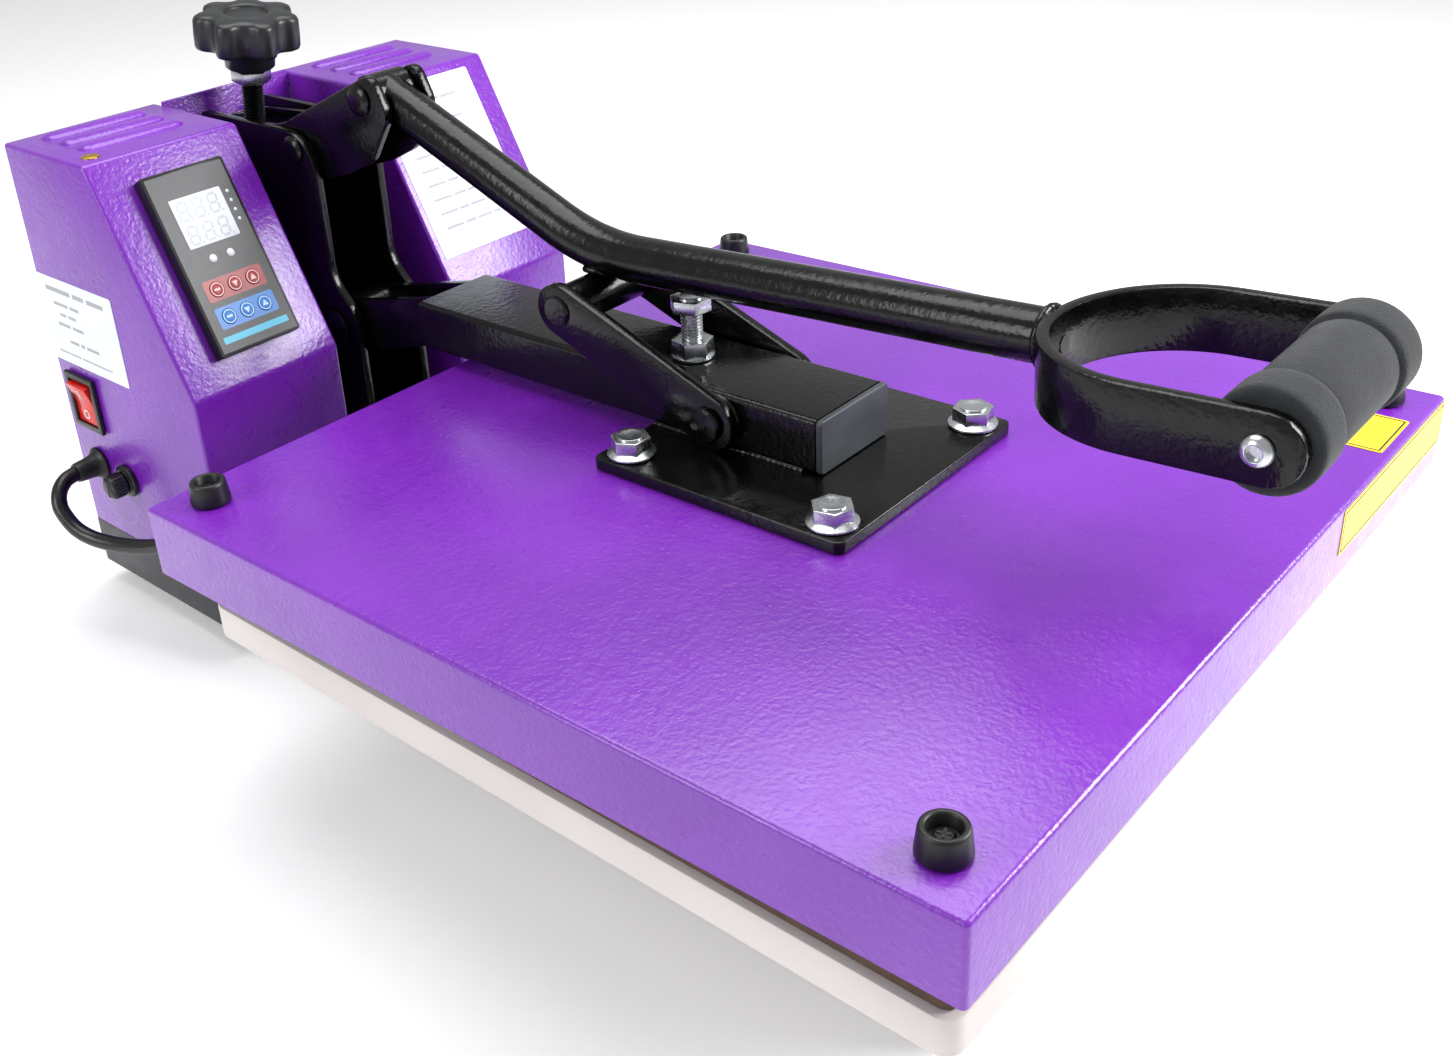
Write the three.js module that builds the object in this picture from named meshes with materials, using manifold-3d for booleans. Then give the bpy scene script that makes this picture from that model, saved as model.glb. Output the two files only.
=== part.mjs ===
// A clamshell heat press: two sheet-metal boxes and a steel tower on a low base, a pale lower
// platen with its silicone pad, and an upper platen that a bent handle swings up through a
// toggle linkage. Millimetres, +Z up, X to the operator's right, the operator at -Y.
import * as THREE from 'three';
import { mergeGeometries, mergeVertices } from 'three/addons/utils/BufferGeometryUtils.js';
import Module from 'manifold-3d';

const wasm = await Module();
wasm.setup();

// ---------------------------------------------------------------- driving dimensions
const GAP = 0.3; // between pieces that touch on the real press
const RUN = 0.6; // between pieces that turn or slide on each other

// upper platen assembly; its own frame has z = 0 at the top of the cover
const COVER_W = 410;
const COVER_D = 410;
const COVER_H = 33;
const COVER_SHEET = 1.5;
const PLATEN_W = COVER_W - 30; // a 15 inch platen, 380 mm
const PLATEN_D = COVER_D - 30;
const PLATEN_T = 12;
const PLATEN_DROP = 7; // platen face below the cover's edge
const TILT_DEG = 1.04; // the upper platen rests this much open
const ARM_W = 50;
const ARM_H = 25;
const ARM_WALL = 2.5;
const ARM_FRONT = -24.6; // front end of the arm tube, from the platen's centre
const ARM_REAR = COVER_D / 2 + 19; // clear of the cover, so that the lugs can drop to the hinge
const END_CAP_T = 3;
const PLATE_SIDE = 132;
const PLATE_T = 5.6;
const BOLT_PITCH = 107;
const BOLT_R = 5; // M10 flange bolts
const CAP_INSET = 20.5;

// lower platen and base
const FOOT_H = 12;
const FOOT_R = 14;
const FOOT_INSET = 42;
const RAIL_W = 40;
const RAIL_H = 26;
const RAIL_WALL = 2.5;
const RAIL_X = 95;
const STRAP_T = 5;
const POST_R = 12;
const PAN_W = COVER_W - 24;
const PAN_FRONT = 9 - COVER_D / 2;
const PAN_REAR = COVER_D / 2 - 16.5;
const RAIL_FRONT = PAN_FRONT + 31;
const PAN_BOTTOM = 85.2;
const PAN_H = 16.3;
const PAN_SHEET = 2.5;
const PAN_CORNER_R = 8;
const PAD_T = 6.8;

// rear boxes on the tray
const BOX_W = 90.2;
const BOX_INNER_X = 42.3;
const BOX_REAR = 410.5;
const BOX_FRONT = 275;
const BOX_TOP_FRONT = 334.2;
const BOX_H = 222.2;
const SLOPE_BOTTOM_H = 110.7; // the sloping front starts this far above the box's lower edge
const BOX_SHEET = 2;
const TRAY_H = 28.7;
const TRAY_SHEET = 3;
const TRAY_FLANGE = 36;

// tower, hinge and pressure bracket; heights are above the table
const COVER_TOP = 149; // height of the hinge centre and of a closed cover's top
const HINGE_Y = 300;
const TOWER_IN = 18; // half the space between the tower's plates
const TOWER_T = 5;
const TOWER_REAR = 398;
const TOWER_TOP = 256.5;
const HINGE_R = 8;
const PIVOT_Y = 313.8; // bracket pivot
const PIVOT_Z = 247.3;
const GRIP_PIVOT_Y = 260; // handle pivot in the bracket's ears
const GRIP_PIVOT_Z = 279.5;
const PIN_R = 5;
const EAR_T = 5;
const EAR_OUT = TOWER_IN - 1;
const BRACKET_THROW = 2.6; // how far the handle pivot's ears move as the knob turns

// pressure screw and knob
const SCREW_LEAN_DEG = 8;
const SCREW_Y = 375.5;
const SCREW_Z = 279;
const SCREW_R = 6; // M12
const KNOB_R = 29;
const KNOB_H = 20;
const KNOB_LOBES = 7;
const KNOB_HUB_R = 14;
const KNOB_HUB_H = 11;

// toggle linkage and handle
const LINK_TOP_Y = 115.8; // pivot on the handle
const LINK_TOP_Z = 204.8;
const LINK_LOW_Y = 27.1; // pivot on the arm, in the upper assembly's frame
const LINK_LOW_Z = 18.6;
const LINK_W = 25;
const LINK_T = 5;
const LINK_IN = ARM_W / 2 + 1.8;
const TUBE_R = 11;
const CROSS_R = 10;
const BEND_Y = 118.2;
const BEND_Z = 223.1;
const BEND_CUT = 28; // length of each straight that the bend takes
const FRONT_RISE_DEG = 3.47;
const LOOP_R = 51;
const LOOP_T = 5;
const LOOP_H = 26;
const LOOP_CENTRE_Y = -165;
const LOOP_END_Y = -226;
const GRIP_BOLT_R = 4;
const FOAM_MID_R = 17.5;
const FOAM_END_R = 19;
const STOP_Y = 61;

// controller and side fittings
const CTRL_W = 48; // a 48 x 96 panel instrument
const CTRL_L = 96;
const CTRL_PROUD = 8;
const CTRL_DEPTH = 70;
const BUTTON_R = 4;
const BUTTON_PITCH = 10.8;
const SWITCH_Y = 387;
const SWITCH_Z = 122.3;
const GLAND_Y = 388;
const GLAND_Z = 84;
const FUSE_Y = 360;
const FUSE_Z = 82;
const CABLE_R = 4.25;
const LEAD_R = 5.5; // where the heater cable enters the cover
const LEAD_Z = -19;

// ---------------------------------------------------------------- derived places
const PLATEN_FACE = -COVER_H - PLATEN_DROP;
const PAN_TOP = PAN_BOTTOM + PAN_H;
const RAIL_TOP = FOOT_H + GAP + RAIL_H;
const TRAY_TOP = FOOT_H + GAP + TRAY_H;
const BOX_BOTTOM = TRAY_TOP + GAP;
const BOX_TOP = BOX_BOTTOM + BOX_H;
const SLOPE_BOTTOM = BOX_BOTTOM + SLOPE_BOTTOM_H;
const BOX_OUT = BOX_INNER_X + BOX_W;
const LEAD_X = -(BOX_OUT + 6.5); // outboard of the box, so the cable can pass beside it
const BOX_MID = BOX_INNER_X + BOX_W / 2;
const SLOPE_ANGLE = Math.atan2(BOX_TOP_FRONT - BOX_FRONT, BOX_TOP - SLOPE_BOTTOM);
const ARM_BOTTOM = PLATE_T + 2 * GAP;
const ARM_TOP = ARM_BOTTOM + ARM_H;
const FRONT_RISE = Math.tan(THREE.MathUtils.degToRad(FRONT_RISE_DEG));
const LOOP_Z = BEND_Z + (BEND_Y - LOOP_CENTRE_Y) * FRONT_RISE - 1.8;

// ---------------------------------------------------------------- solids
function toSolid(geometry) {
  const bare = geometry.clone();
  bare.deleteAttribute('normal');
  bare.deleteAttribute('uv');
  const merged = mergeVertices(bare, 1e-4);
  return new wasm.Manifold(new wasm.Mesh({
    numProp: 3,
    vertProperties: new Float32Array(merged.attributes.position.array),
    triVerts: new Uint32Array(merged.index.array),
  }));
}

function toGeometry(solid) {
  const mesh = solid.getMesh();
  const geometry = new THREE.BufferGeometry();
  geometry.setAttribute('position', new THREE.BufferAttribute(new Float32Array(mesh.vertProperties), 3));
  geometry.setIndex(new THREE.BufferAttribute(new Uint32Array(mesh.triVerts), 1));
  return geometry;
}

function join(...geometries) {
  return toGeometry(geometries.map(toSolid).reduce((whole, next) => whole.add(next)));
}

function cut(geometry, ...tools) {
  return toGeometry(tools.map(toSolid).reduce((whole, next) => whole.subtract(next), toSolid(geometry)));
}

function common(first, second) {
  return toGeometry(toSolid(first).intersect(toSolid(second)));
}

// a block from its lowest and highest corners
function block(x0, x1, y0, y1, z0, z1) {
  const geometry = new THREE.BoxGeometry(x1 - x0, y1 - y0, z1 - z0);
  return geometry.translate((x0 + x1) / 2, (y0 + y1) / 2, (z0 + z1) / 2);
}

// a round bar along X
function barX(radius, x0, x1, y, z, sides = 20) {
  const geometry = new THREE.CylinderGeometry(radius, radius, x1 - x0, sides);
  return geometry.rotateZ(Math.PI / 2).translate((x0 + x1) / 2, y, z);
}

// a round or tapered bar along Z
function barZ(lowRadius, highRadius, z0, z1, x, y, sides = 20) {
  const geometry = new THREE.CylinderGeometry(highRadius, lowRadius, z1 - z0, sides);
  return geometry.rotateX(Math.PI / 2).translate(x, y, (z0 + z1) / 2);
}

// an outline in the Y-Z plane, made a plate from x0 to x1
function sidePlate(shape, x0, x1, curveSegments = 4) {
  const geometry = new THREE.ExtrudeGeometry(shape, { depth: x1 - x0, bevelEnabled: false, curveSegments });
  const toSide = new THREE.Matrix4().makeBasis(
    new THREE.Vector3(0, 1, 0), new THREE.Vector3(0, 0, 1), new THREE.Vector3(1, 0, 0));
  return geometry.applyMatrix4(toSide).translate(x0, 0, 0);
}

// an outline in the X-Y plane, made a plate from z0 to z1
function flatPlate(shape, z0, z1, curveSegments = 3) {
  const geometry = new THREE.ExtrudeGeometry(shape, { depth: z1 - z0, bevelEnabled: false, curveSegments });
  return geometry.translate(0, 0, z0);
}

function polygon(points) {
  return new THREE.Shape(points.map(([u, v]) => new THREE.Vector2(u, v)));
}

// a rectangle with round corners
function roundRect(u0, u1, v0, v1, radius) {
  const shape = new THREE.Shape();
  shape.moveTo(u0 + radius, v0);
  shape.lineTo(u1 - radius, v0);
  shape.absarc(u1 - radius, v0 + radius, radius, -Math.PI / 2, 0);
  shape.lineTo(u1, v1 - radius);
  shape.absarc(u1 - radius, v1 - radius, radius, 0, Math.PI / 2);
  shape.lineTo(u0 + radius, v1);
  shape.absarc(u0 + radius, v1 - radius, radius, Math.PI / 2, Math.PI);
  shape.lineTo(u0, v0 + radius);
  shape.absarc(u0 + radius, v0 + radius, radius, Math.PI, 1.5 * Math.PI);
  return shape;
}

// a turned piece about Z; the profile is a list of [radius, height]
function turned(profile, sides = 20) {
  const points = profile.map(([radius, height]) => new THREE.Vector2(radius, height));
  return new THREE.LatheGeometry(points, sides).rotateX(Math.PI / 2);
}

// a hexagonal head or nut about Z
function hexagon(acrossFlats, z0, z1, x, y) {
  const geometry = new THREE.CylinderGeometry(acrossFlats / Math.sqrt(3), acrossFlats / Math.sqrt(3), z1 - z0, 6);
  return geometry.rotateX(Math.PI / 2).translate(x, y, (z0 + z1) / 2);
}

// a bar of round section along a path
function sweep(points, radius, steps, sides) {
  const section = new THREE.Shape();
  section.absarc(0, 0, radius, 0, 2 * Math.PI);
  const path = points instanceof THREE.Curve ? points : new THREE.CatmullRomCurve3(points);
  return new THREE.ExtrudeGeometry(section, { steps, extrudePath: path, curveSegments: sides / 2 });
}

// ---------------------------------------------------------------- materials
const PURPLE = { color: 0x6d2fb4, roughness: 0.42, metalness: 0.1 };
const BLACK_STEEL = { color: 0x141416, roughness: 0.35, metalness: 0.3 };
const GREY_STEEL = { color: 0x3a3c3f, roughness: 0.5, metalness: 0.4 };
const ZINC = { color: 0xc8ccd0, roughness: 0.3, metalness: 0.9 };
const ALUMINIUM = { color: 0xb9bcbf, roughness: 0.4, metalness: 0.9 };
const PALE_PAINT = { color: 0xe6e4df, roughness: 0.5, metalness: 0.0 };
const BROWN_PAD = { color: 0x6a4a32, roughness: 0.9, metalness: 0.0 };
const BLACK_PLASTIC = { color: 0x1b1c1e, roughness: 0.55, metalness: 0.0 };
const RUBBER = { color: 0x101010, roughness: 0.8, metalness: 0.0 };
const FOAM = { color: 0x232425, roughness: 0.95, metalness: 0.0 };
const RED = { color: 0xc81e1e, roughness: 0.3, metalness: 0.0 };
const BLUE = { color: 0x1c6fc4, roughness: 0.4, metalness: 0.0 };
const LENS = { color: 0xd8dde0, roughness: 0.15, metalness: 0.0 };
const WOOL = { color: 0xe8e2d2, roughness: 1.0, metalness: 0.0 };

function addPiece(group, name, geometry, look) {
  const mesh = new THREE.Mesh(geometry, new THREE.MeshStandardMaterial(look));
  mesh.name = name;
  group.add(mesh);
  return mesh;
}

const press = new THREE.Group();

// ---------------------------------------------------------------- base
const STRAP_PLACES = [RAIL_FRONT + 25, PAN_REAR - 38.5];

function railTube(side) {
  const x0 = side * RAIL_X - RAIL_W / 2;
  const x1 = side * RAIL_X + RAIL_W / 2;
  const z0 = FOOT_H + GAP;
  const end = BOX_FRONT - GAP;
  return cut(
    block(x0, x1, RAIL_FRONT, end, z0, RAIL_TOP),
    block(x0 + RAIL_WALL, x1 - RAIL_WALL, RAIL_FRONT - 1, end + 1, z0 + RAIL_WALL, RAIL_TOP - RAIL_WALL));
}

// a flat cross strap with a post at each end, welded on top of the rails
function crossStrap(y) {
  const halfSpan = RAIL_X + RAIL_W / 2;
  const top = PAN_TOP - PAN_SHEET - GAP;
  const posts = [-1, 1].map((side) => barZ(POST_R, POST_R, RAIL_TOP - 0.5, top, side * RAIL_X, y));
  return join(block(-halfSpan, halfSpan, y - 20, y + 20, RAIL_TOP - 0.5, RAIL_TOP + STRAP_T), ...posts);
}

function buildBase() {
  addPiece(press, 'base_frame', join(railTube(-1), railTube(1), ...STRAP_PLACES.map(crossStrap)), BLACK_STEEL);

  const z0 = FOOT_H + GAP;
  const wall = TRAY_SHEET;
  const tray = cut(
    block(-BOX_OUT, BOX_OUT, BOX_FRONT, BOX_REAR, z0, TRAY_TOP),
    block(-BOX_OUT + wall, BOX_OUT - wall, BOX_FRONT + wall, BOX_REAR - wall, z0 + wall, TRAY_TOP - wall),
    block(-BOX_OUT + TRAY_FLANGE, BOX_OUT - TRAY_FLANGE, BOX_FRONT + wall, BOX_REAR - wall, z0 - 1, z0 + wall + 1));
  addPiece(press, 'base_tray', tray, GREY_STEEL);

  const footX = BOX_OUT - FOOT_INSET;
  const feet = {
    foot_front_left: [-RAIL_X, RAIL_FRONT + 22],
    foot_front_right: [RAIL_X, RAIL_FRONT + 22],
    foot_rear_left: [-footX, BOX_REAR - FOOT_INSET],
    foot_rear_right: [footX, BOX_REAR - FOOT_INSET],
  };
  for (const [name, [x, y]] of Object.entries(feet)) {
    addPiece(press, name, barZ(FOOT_R, FOOT_R + 2, 0, FOOT_H, x, y), RUBBER);
  }

  const pan = cut(
    flatPlate(roundRect(-PAN_W / 2, PAN_W / 2, PAN_FRONT, PAN_REAR, PAN_CORNER_R), PAN_BOTTOM, PAN_TOP),
    flatPlate(roundRect(-PAN_W / 2 + PAN_SHEET, PAN_W / 2 - PAN_SHEET, PAN_FRONT + PAN_SHEET, PAN_REAR - PAN_SHEET,
      PAN_CORNER_R - PAN_SHEET), PAN_BOTTOM - 1, PAN_TOP - PAN_SHEET));
  addPiece(press, 'lower_platen', pan, PALE_PAINT);

  const padFront = PAN_FRONT + 3;
  const padRear = PAN_REAR - 3;
  const pad = flatPlate(roundRect(-PAN_W / 2 + 3, PAN_W / 2 - 3, padFront, padRear, 5), PAN_TOP + GAP,
    PAN_TOP + GAP + PAD_T);
  addPiece(press, 'silicone_pad', pad, BROWN_PAD);
}

// ---------------------------------------------------------------- tower
function towerOutline() {
  const foot = TRAY_TOP + GAP;
  const front = BOX_FRONT + 7;
  const shape = new THREE.Shape();
  shape.moveTo(TOWER_REAR, foot);
  shape.lineTo(TOWER_REAR, TOWER_TOP);
  shape.lineTo(HINGE_Y + 21, TOWER_TOP);
  shape.quadraticCurveTo(HINGE_Y + 2, TOWER_TOP - 3, HINGE_Y - 1, TOWER_TOP - 26);
  shape.lineTo(HINGE_Y - 1, COVER_TOP + 28);
  shape.lineTo(front, COVER_TOP + 11);
  shape.lineTo(front, foot);
  return shape;
}

function buildTower() {
  const outer = TOWER_IN + TOWER_T;
  const foot = TRAY_TOP + GAP;
  const plates = [[-outer, -TOWER_IN], [TOWER_IN, outer]].map(([x0, x1]) => sidePlate(towerOutline(), x0, x1));
  const backWeb = block(-TOWER_IN - 1, TOWER_IN + 1, TOWER_REAR - TOWER_T, TOWER_REAR, foot, TOWER_TOP - 6);
  const footPlate = block(-BOX_INNER_X + 2, BOX_INNER_X - 2, BOX_FRONT + 7, TOWER_REAR, foot, foot + TOWER_T);
  const anvil = block(-TOWER_IN - 1, TOWER_IN + 1, SCREW_Y - 4, TOWER_REAR - 1, SCREW_Z - 84, SCREW_Z - 74);
  const tower = cut(
    join(...plates, backWeb, footPlate, anvil),
    barX(HINGE_R + GAP, -outer - 1, outer + 1, HINGE_Y, COVER_TOP),
    barX(PIN_R + GAP, -outer - 1, outer + 1, PIVOT_Y, PIVOT_Z));
  addPiece(press, 'tower', tower, BLACK_STEEL);

  const reach = outer + GAP;
  addPiece(press, 'arm_hinge_shaft', join(
    barX(HINGE_R, -reach - 1, reach + 1, HINGE_Y, COVER_TOP),
    barX(HINGE_R + 3, -reach - 4, -reach, HINGE_Y, COVER_TOP),
    barX(HINGE_R + 3, reach, reach + 4, HINGE_Y, COVER_TOP)), ZINC);
  addPiece(press, 'bracket_pin', join(
    barX(PIN_R, -reach - 1, reach + 1, PIVOT_Y, PIVOT_Z),
    barX(PIN_R + 2.5, -reach - 3, -reach, PIVOT_Y, PIVOT_Z),
    barX(PIN_R + 2.5, reach, reach + 3, PIVOT_Y, PIVOT_Z)), BLACK_STEEL);
}

// ---------------------------------------------------------------- rear boxes
function boxOutline(inset, bottom) {
  const slope = inset * Math.tan((Math.PI / 2 - SLOPE_ANGLE) / 2);
  return polygon([
    [BOX_FRONT + inset, bottom],
    [BOX_REAR - inset, bottom],
    [BOX_REAR - inset, BOX_TOP - inset],
    [BOX_TOP_FRONT + slope, BOX_TOP - inset],
    [BOX_FRONT + inset, SLOPE_BOTTOM + inset * Math.tan(SLOPE_ANGLE / 2)],
  ]);
}

function boxShell(side) {
  const [x0, x1] = side < 0 ? [-BOX_OUT, -BOX_INNER_X] : [BOX_INNER_X, BOX_OUT];
  return cut(
    sidePlate(boxOutline(0, BOX_BOTTOM), x0, x1),
    sidePlate(boxOutline(BOX_SHEET, BOX_BOTTOM - 1), x0 + BOX_SHEET, x1 - BOX_SHEET));
}

// the slope's own frame: X across, Y up the slope, Z out of it, zero at the slope's centre
function onSlope(geometry) {
  const place = new THREE.Matrix4().makeRotationX(Math.PI / 2 - SLOPE_ANGLE);
  place.setPosition(-BOX_MID, (BOX_FRONT + BOX_TOP_FRONT) / 2, (SLOPE_BOTTOM + BOX_TOP) / 2);
  return geometry.applyMatrix4(place);
}

const SWITCH_W = 20; // window in the box's side, along Y
const SWITCH_L = 26;
const GLAND_R = 6;
const FUSE_R = 6.2;
const INLET_Z = 84;
const INLET_W = 28;
const INLET_H = 20;

function buildBoxes() {
  const wallIn = -BOX_OUT + BOX_SHEET + 1;
  const wallOut = -BOX_OUT - 1;
  const halfW = SWITCH_W / 2 + 2 + GAP;
  const halfL = SWITCH_L / 2 + 2 + GAP;
  const controlBox = cut(
    boxShell(-1),
    onSlope(block(-CTRL_W / 2 + 1.2, CTRL_W / 2 - 1.2, -CTRL_L / 2 + 1.7, CTRL_L / 2 - 1.7, -6, 6)),
    block(wallOut, wallIn, SWITCH_Y - halfW, SWITCH_Y + halfW, SWITCH_Z - halfL, SWITCH_Z + halfL),
    barX(GLAND_R + GAP, wallOut, wallIn, GLAND_Y, GLAND_Z),
    barX(FUSE_R + GAP, wallOut, wallIn, FUSE_Y, FUSE_Z),
    block(-BOX_MID - INLET_W / 2 - GAP, -BOX_MID + INLET_W / 2 + GAP, BOX_REAR - BOX_SHEET - 1, BOX_REAR + 1,
      INLET_Z - INLET_H / 2 - GAP, INLET_Z + INLET_H / 2 + GAP));
  addPiece(press, 'control_box', controlBox, PURPLE);
  addPiece(press, 'right_box', boxShell(1), PURPLE);

  const half = BOX_INNER_X - GAP;
  const panel = block(-half, half, BOX_REAR - 8, BOX_REAR - 6, BOX_BOTTOM, BOX_TOP + 1.5);
  addPiece(press, 'rear_panel', panel, PURPLE);
}

// ---------------------------------------------------------------- controller
const BUTTON_ROWS = [
  { name: 'set', v: -15, look: RED },
  { name: 'timer', v: -29.5, look: BLUE },
];
const LENS_W = 30;
const LENS_L = 26;
const LENS_V = 20.5;
const BUTTON_PROUD = 0.9;
const POCKET = 1.6;

function buildController() {
  const face = CTRL_PROUD;
  const pockets = [block(-LENS_W / 2 - GAP, LENS_W / 2 + GAP, LENS_V - LENS_L / 2 - GAP, LENS_V + LENS_L / 2 + GAP,
    face - POCKET, face + 1)];
  for (const row of BUTTON_ROWS) {
    for (const column of [-1, 0, 1]) {
      pockets.push(barZ(BUTTON_R + GAP, BUTTON_R + GAP, face - POCKET, face + 1, column * BUTTON_PITCH, row.v, 20));
    }
  }
  const housing = cut(join(
    flatPlate(roundRect(-CTRL_W / 2, CTRL_W / 2, -CTRL_L / 2, CTRL_L / 2, 1.5), GAP, face, 3),
    block(-CTRL_W / 2 + 1.5, CTRL_W / 2 - 1.5, -CTRL_L / 2 + 2, CTRL_L / 2 - 2, -CTRL_DEPTH, 1)), ...pockets);
  addPiece(press, 'controller_housing', onSlope(housing), BLACK_PLASTIC);

  const lens = block(-LENS_W / 2, LENS_W / 2, LENS_V - LENS_L / 2, LENS_V + LENS_L / 2, face - POCKET + GAP, face);
  addPiece(press, 'display_window', onSlope(lens), LENS);

  for (const row of BUTTON_ROWS) {
    [-1, 0, 1].forEach((column, index) => {
      const button = barZ(BUTTON_R, BUTTON_R - 0.4, face - POCKET + GAP + 0.5, face + BUTTON_PROUD,
        column * BUTTON_PITCH, row.v, 20);
      addPiece(press, `button_${row.name}_${index + 1}`, onSlope(button), row.look);
    });
  }
}

// ---------------------------------------------------------------- side fittings
const FITTING_SIDE = -BOX_OUT - GAP;
const ROCKER_DEG = -9;

function buildFittings() {
  const bezel = cut(
    join(
      block(FITTING_SIDE - 2.5, FITTING_SIDE, SWITCH_Y - 14, SWITCH_Y + 14, SWITCH_Z - 16.3, SWITCH_Z + 16.3),
      block(FITTING_SIDE - 1, FITTING_SIDE + 24, SWITCH_Y - SWITCH_W / 2 - 2, SWITCH_Y + SWITCH_W / 2 + 2,
        SWITCH_Z - SWITCH_L / 2 - 2, SWITCH_Z + SWITCH_L / 2 + 2)),
    block(FITTING_SIDE - 4, FITTING_SIDE + 12, SWITCH_Y - SWITCH_W / 2, SWITCH_Y + SWITCH_W / 2,
      SWITCH_Z - SWITCH_L / 2, SWITCH_Z + SWITCH_L / 2));
  addPiece(press, 'switch_bezel', bezel, BLACK_PLASTIC);

  // a rocker about Y, its outer face a shallow V, at rest pressed in at the bottom
  const reach = SWITCH_L / 2 - 1;
  const rockerShape = polygon([[-6, -7], [1.6, -reach], [5.6, -reach], [3.4, 0], [5.6, reach], [1.6, reach], [-6, 7]]);
  const rocker = new THREE.ExtrudeGeometry(rockerShape, { depth: SWITCH_W - 2 * RUN, bevelEnabled: false });
  const toRocker = new THREE.Matrix4().makeBasis(
    new THREE.Vector3(-1, 0, 0), new THREE.Vector3(0, 0, 1), new THREE.Vector3(0, 1, 0));
  rocker.translate(0, 0, -SWITCH_W / 2 + RUN).applyMatrix4(toRocker);
  const rockerMesh = addPiece(press, 'switch_rocker', rocker, RED);
  rockerMesh.position.set(FITTING_SIDE + 2, SWITCH_Y, SWITCH_Z);
  rockerMesh.rotation.y = THREE.MathUtils.degToRad(ROCKER_DEG);

  const gland = turned([
    [CABLE_R + GAP, -5], [GLAND_R, -5], [GLAND_R, GAP], [9.5, GAP], [9.5, 3], [7, 6], [6.2, 16], [CABLE_R + GAP, 16],
    [CABLE_R + GAP, -5]], 24);
  gland.rotateY(-Math.PI / 2).translate(-BOX_OUT, GLAND_Y, GLAND_Z);
  addPiece(press, 'cable_gland', gland, RUBBER);

  const holder = turned([
    [0, -26], [FUSE_R, -26], [FUSE_R, GAP], [9.5, GAP], [9.5, 2.8], [7, 3.8], [0, 3.8]], 24);
  holder.rotateY(-Math.PI / 2).translate(-BOX_OUT, FUSE_Y, FUSE_Z);
  addPiece(press, 'fuse_holder', holder, BLACK_PLASTIC);
  const cap = turned([[0, 4.2], [6, 4.2], [6.6, 5.5], [6.6, 12], [5.4, 13.5], [0, 13.5]], 20);
  const slot = block(-1, 1, -8, 8, 11.8, 15);
  addPiece(press, 'fuse_cap', cut(cap, slot).rotateY(-Math.PI / 2).translate(-BOX_OUT, FUSE_Y, FUSE_Z), BLACK_PLASTIC);

  const inlet = cut(
    join(
      block(-BOX_MID - 24, -BOX_MID + 24, BOX_REAR + GAP, BOX_REAR + 3, INLET_Z - 14, INLET_Z + 14),
      block(-BOX_MID - INLET_W / 2, -BOX_MID + INLET_W / 2, BOX_REAR - 22, BOX_REAR + 1, INLET_Z - INLET_H / 2,
        INLET_Z + INLET_H / 2)),
    block(-BOX_MID - 12, -BOX_MID + 12, BOX_REAR - 14, BOX_REAR + 4, INLET_Z - 8, INLET_Z + 8));
  const pins = [-7, 0, 7].map((x, index) => block(-BOX_MID + x - 1, -BOX_MID + x + 1, BOX_REAR - 15, BOX_REAR - 2,
    INLET_Z - 2 + (index === 1 ? 3 : 0), INLET_Z + 2 + (index === 1 ? 3 : 0)));
  addPiece(press, 'mains_inlet', join(inlet, ...pins), BLACK_PLASTIC);

  const relayZ = BOX_BOTTOM + GAP;
  const relay = join(
    block(-BOX_MID - 22, -BOX_MID + 22, BOX_FRONT + 20, BOX_FRONT + 78, relayZ, relayZ + 6),
    block(-BOX_MID - 20, -BOX_MID + 20, BOX_FRONT + 24, BOX_FRONT + 74, relayZ + 5, relayZ + 28));
  addPiece(press, 'solid_state_relay', relay, BLACK_PLASTIC);
}

// ---------------------------------------------------------------- upper assembly, closed frame
const upper = new THREE.Group();
upper.position.set(0, HINGE_Y, COVER_TOP);
upper.rotation.x = -THREE.MathUtils.degToRad(TILT_DEG);
press.add(upper);

// the upper frame's geometry is drawn from the platen's centre, then moved to the hinge
function addUpper(name, geometry, look) {
  return addPiece(upper, name, geometry.translate(0, -HINGE_Y, 0), look);
}

const BOLT_PLACES = {
  flange_bolt_front_left: [-1, -1],
  flange_bolt_front_right: [1, -1],
  flange_bolt_rear_left: [-1, 1],
  flange_bolt_rear_right: [1, 1],
};
const BOLT_TIP = -COVER_H - PLATEN_DROP + 4;

function boltHoles(z0, z1) {
  return Object.values(BOLT_PLACES).map(([sx, sy]) =>
    barZ(BOLT_R + GAP, BOLT_R + GAP, z0, z1, sx * BOLT_PITCH / 2, sy * BOLT_PITCH / 2, 20));
}

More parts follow.
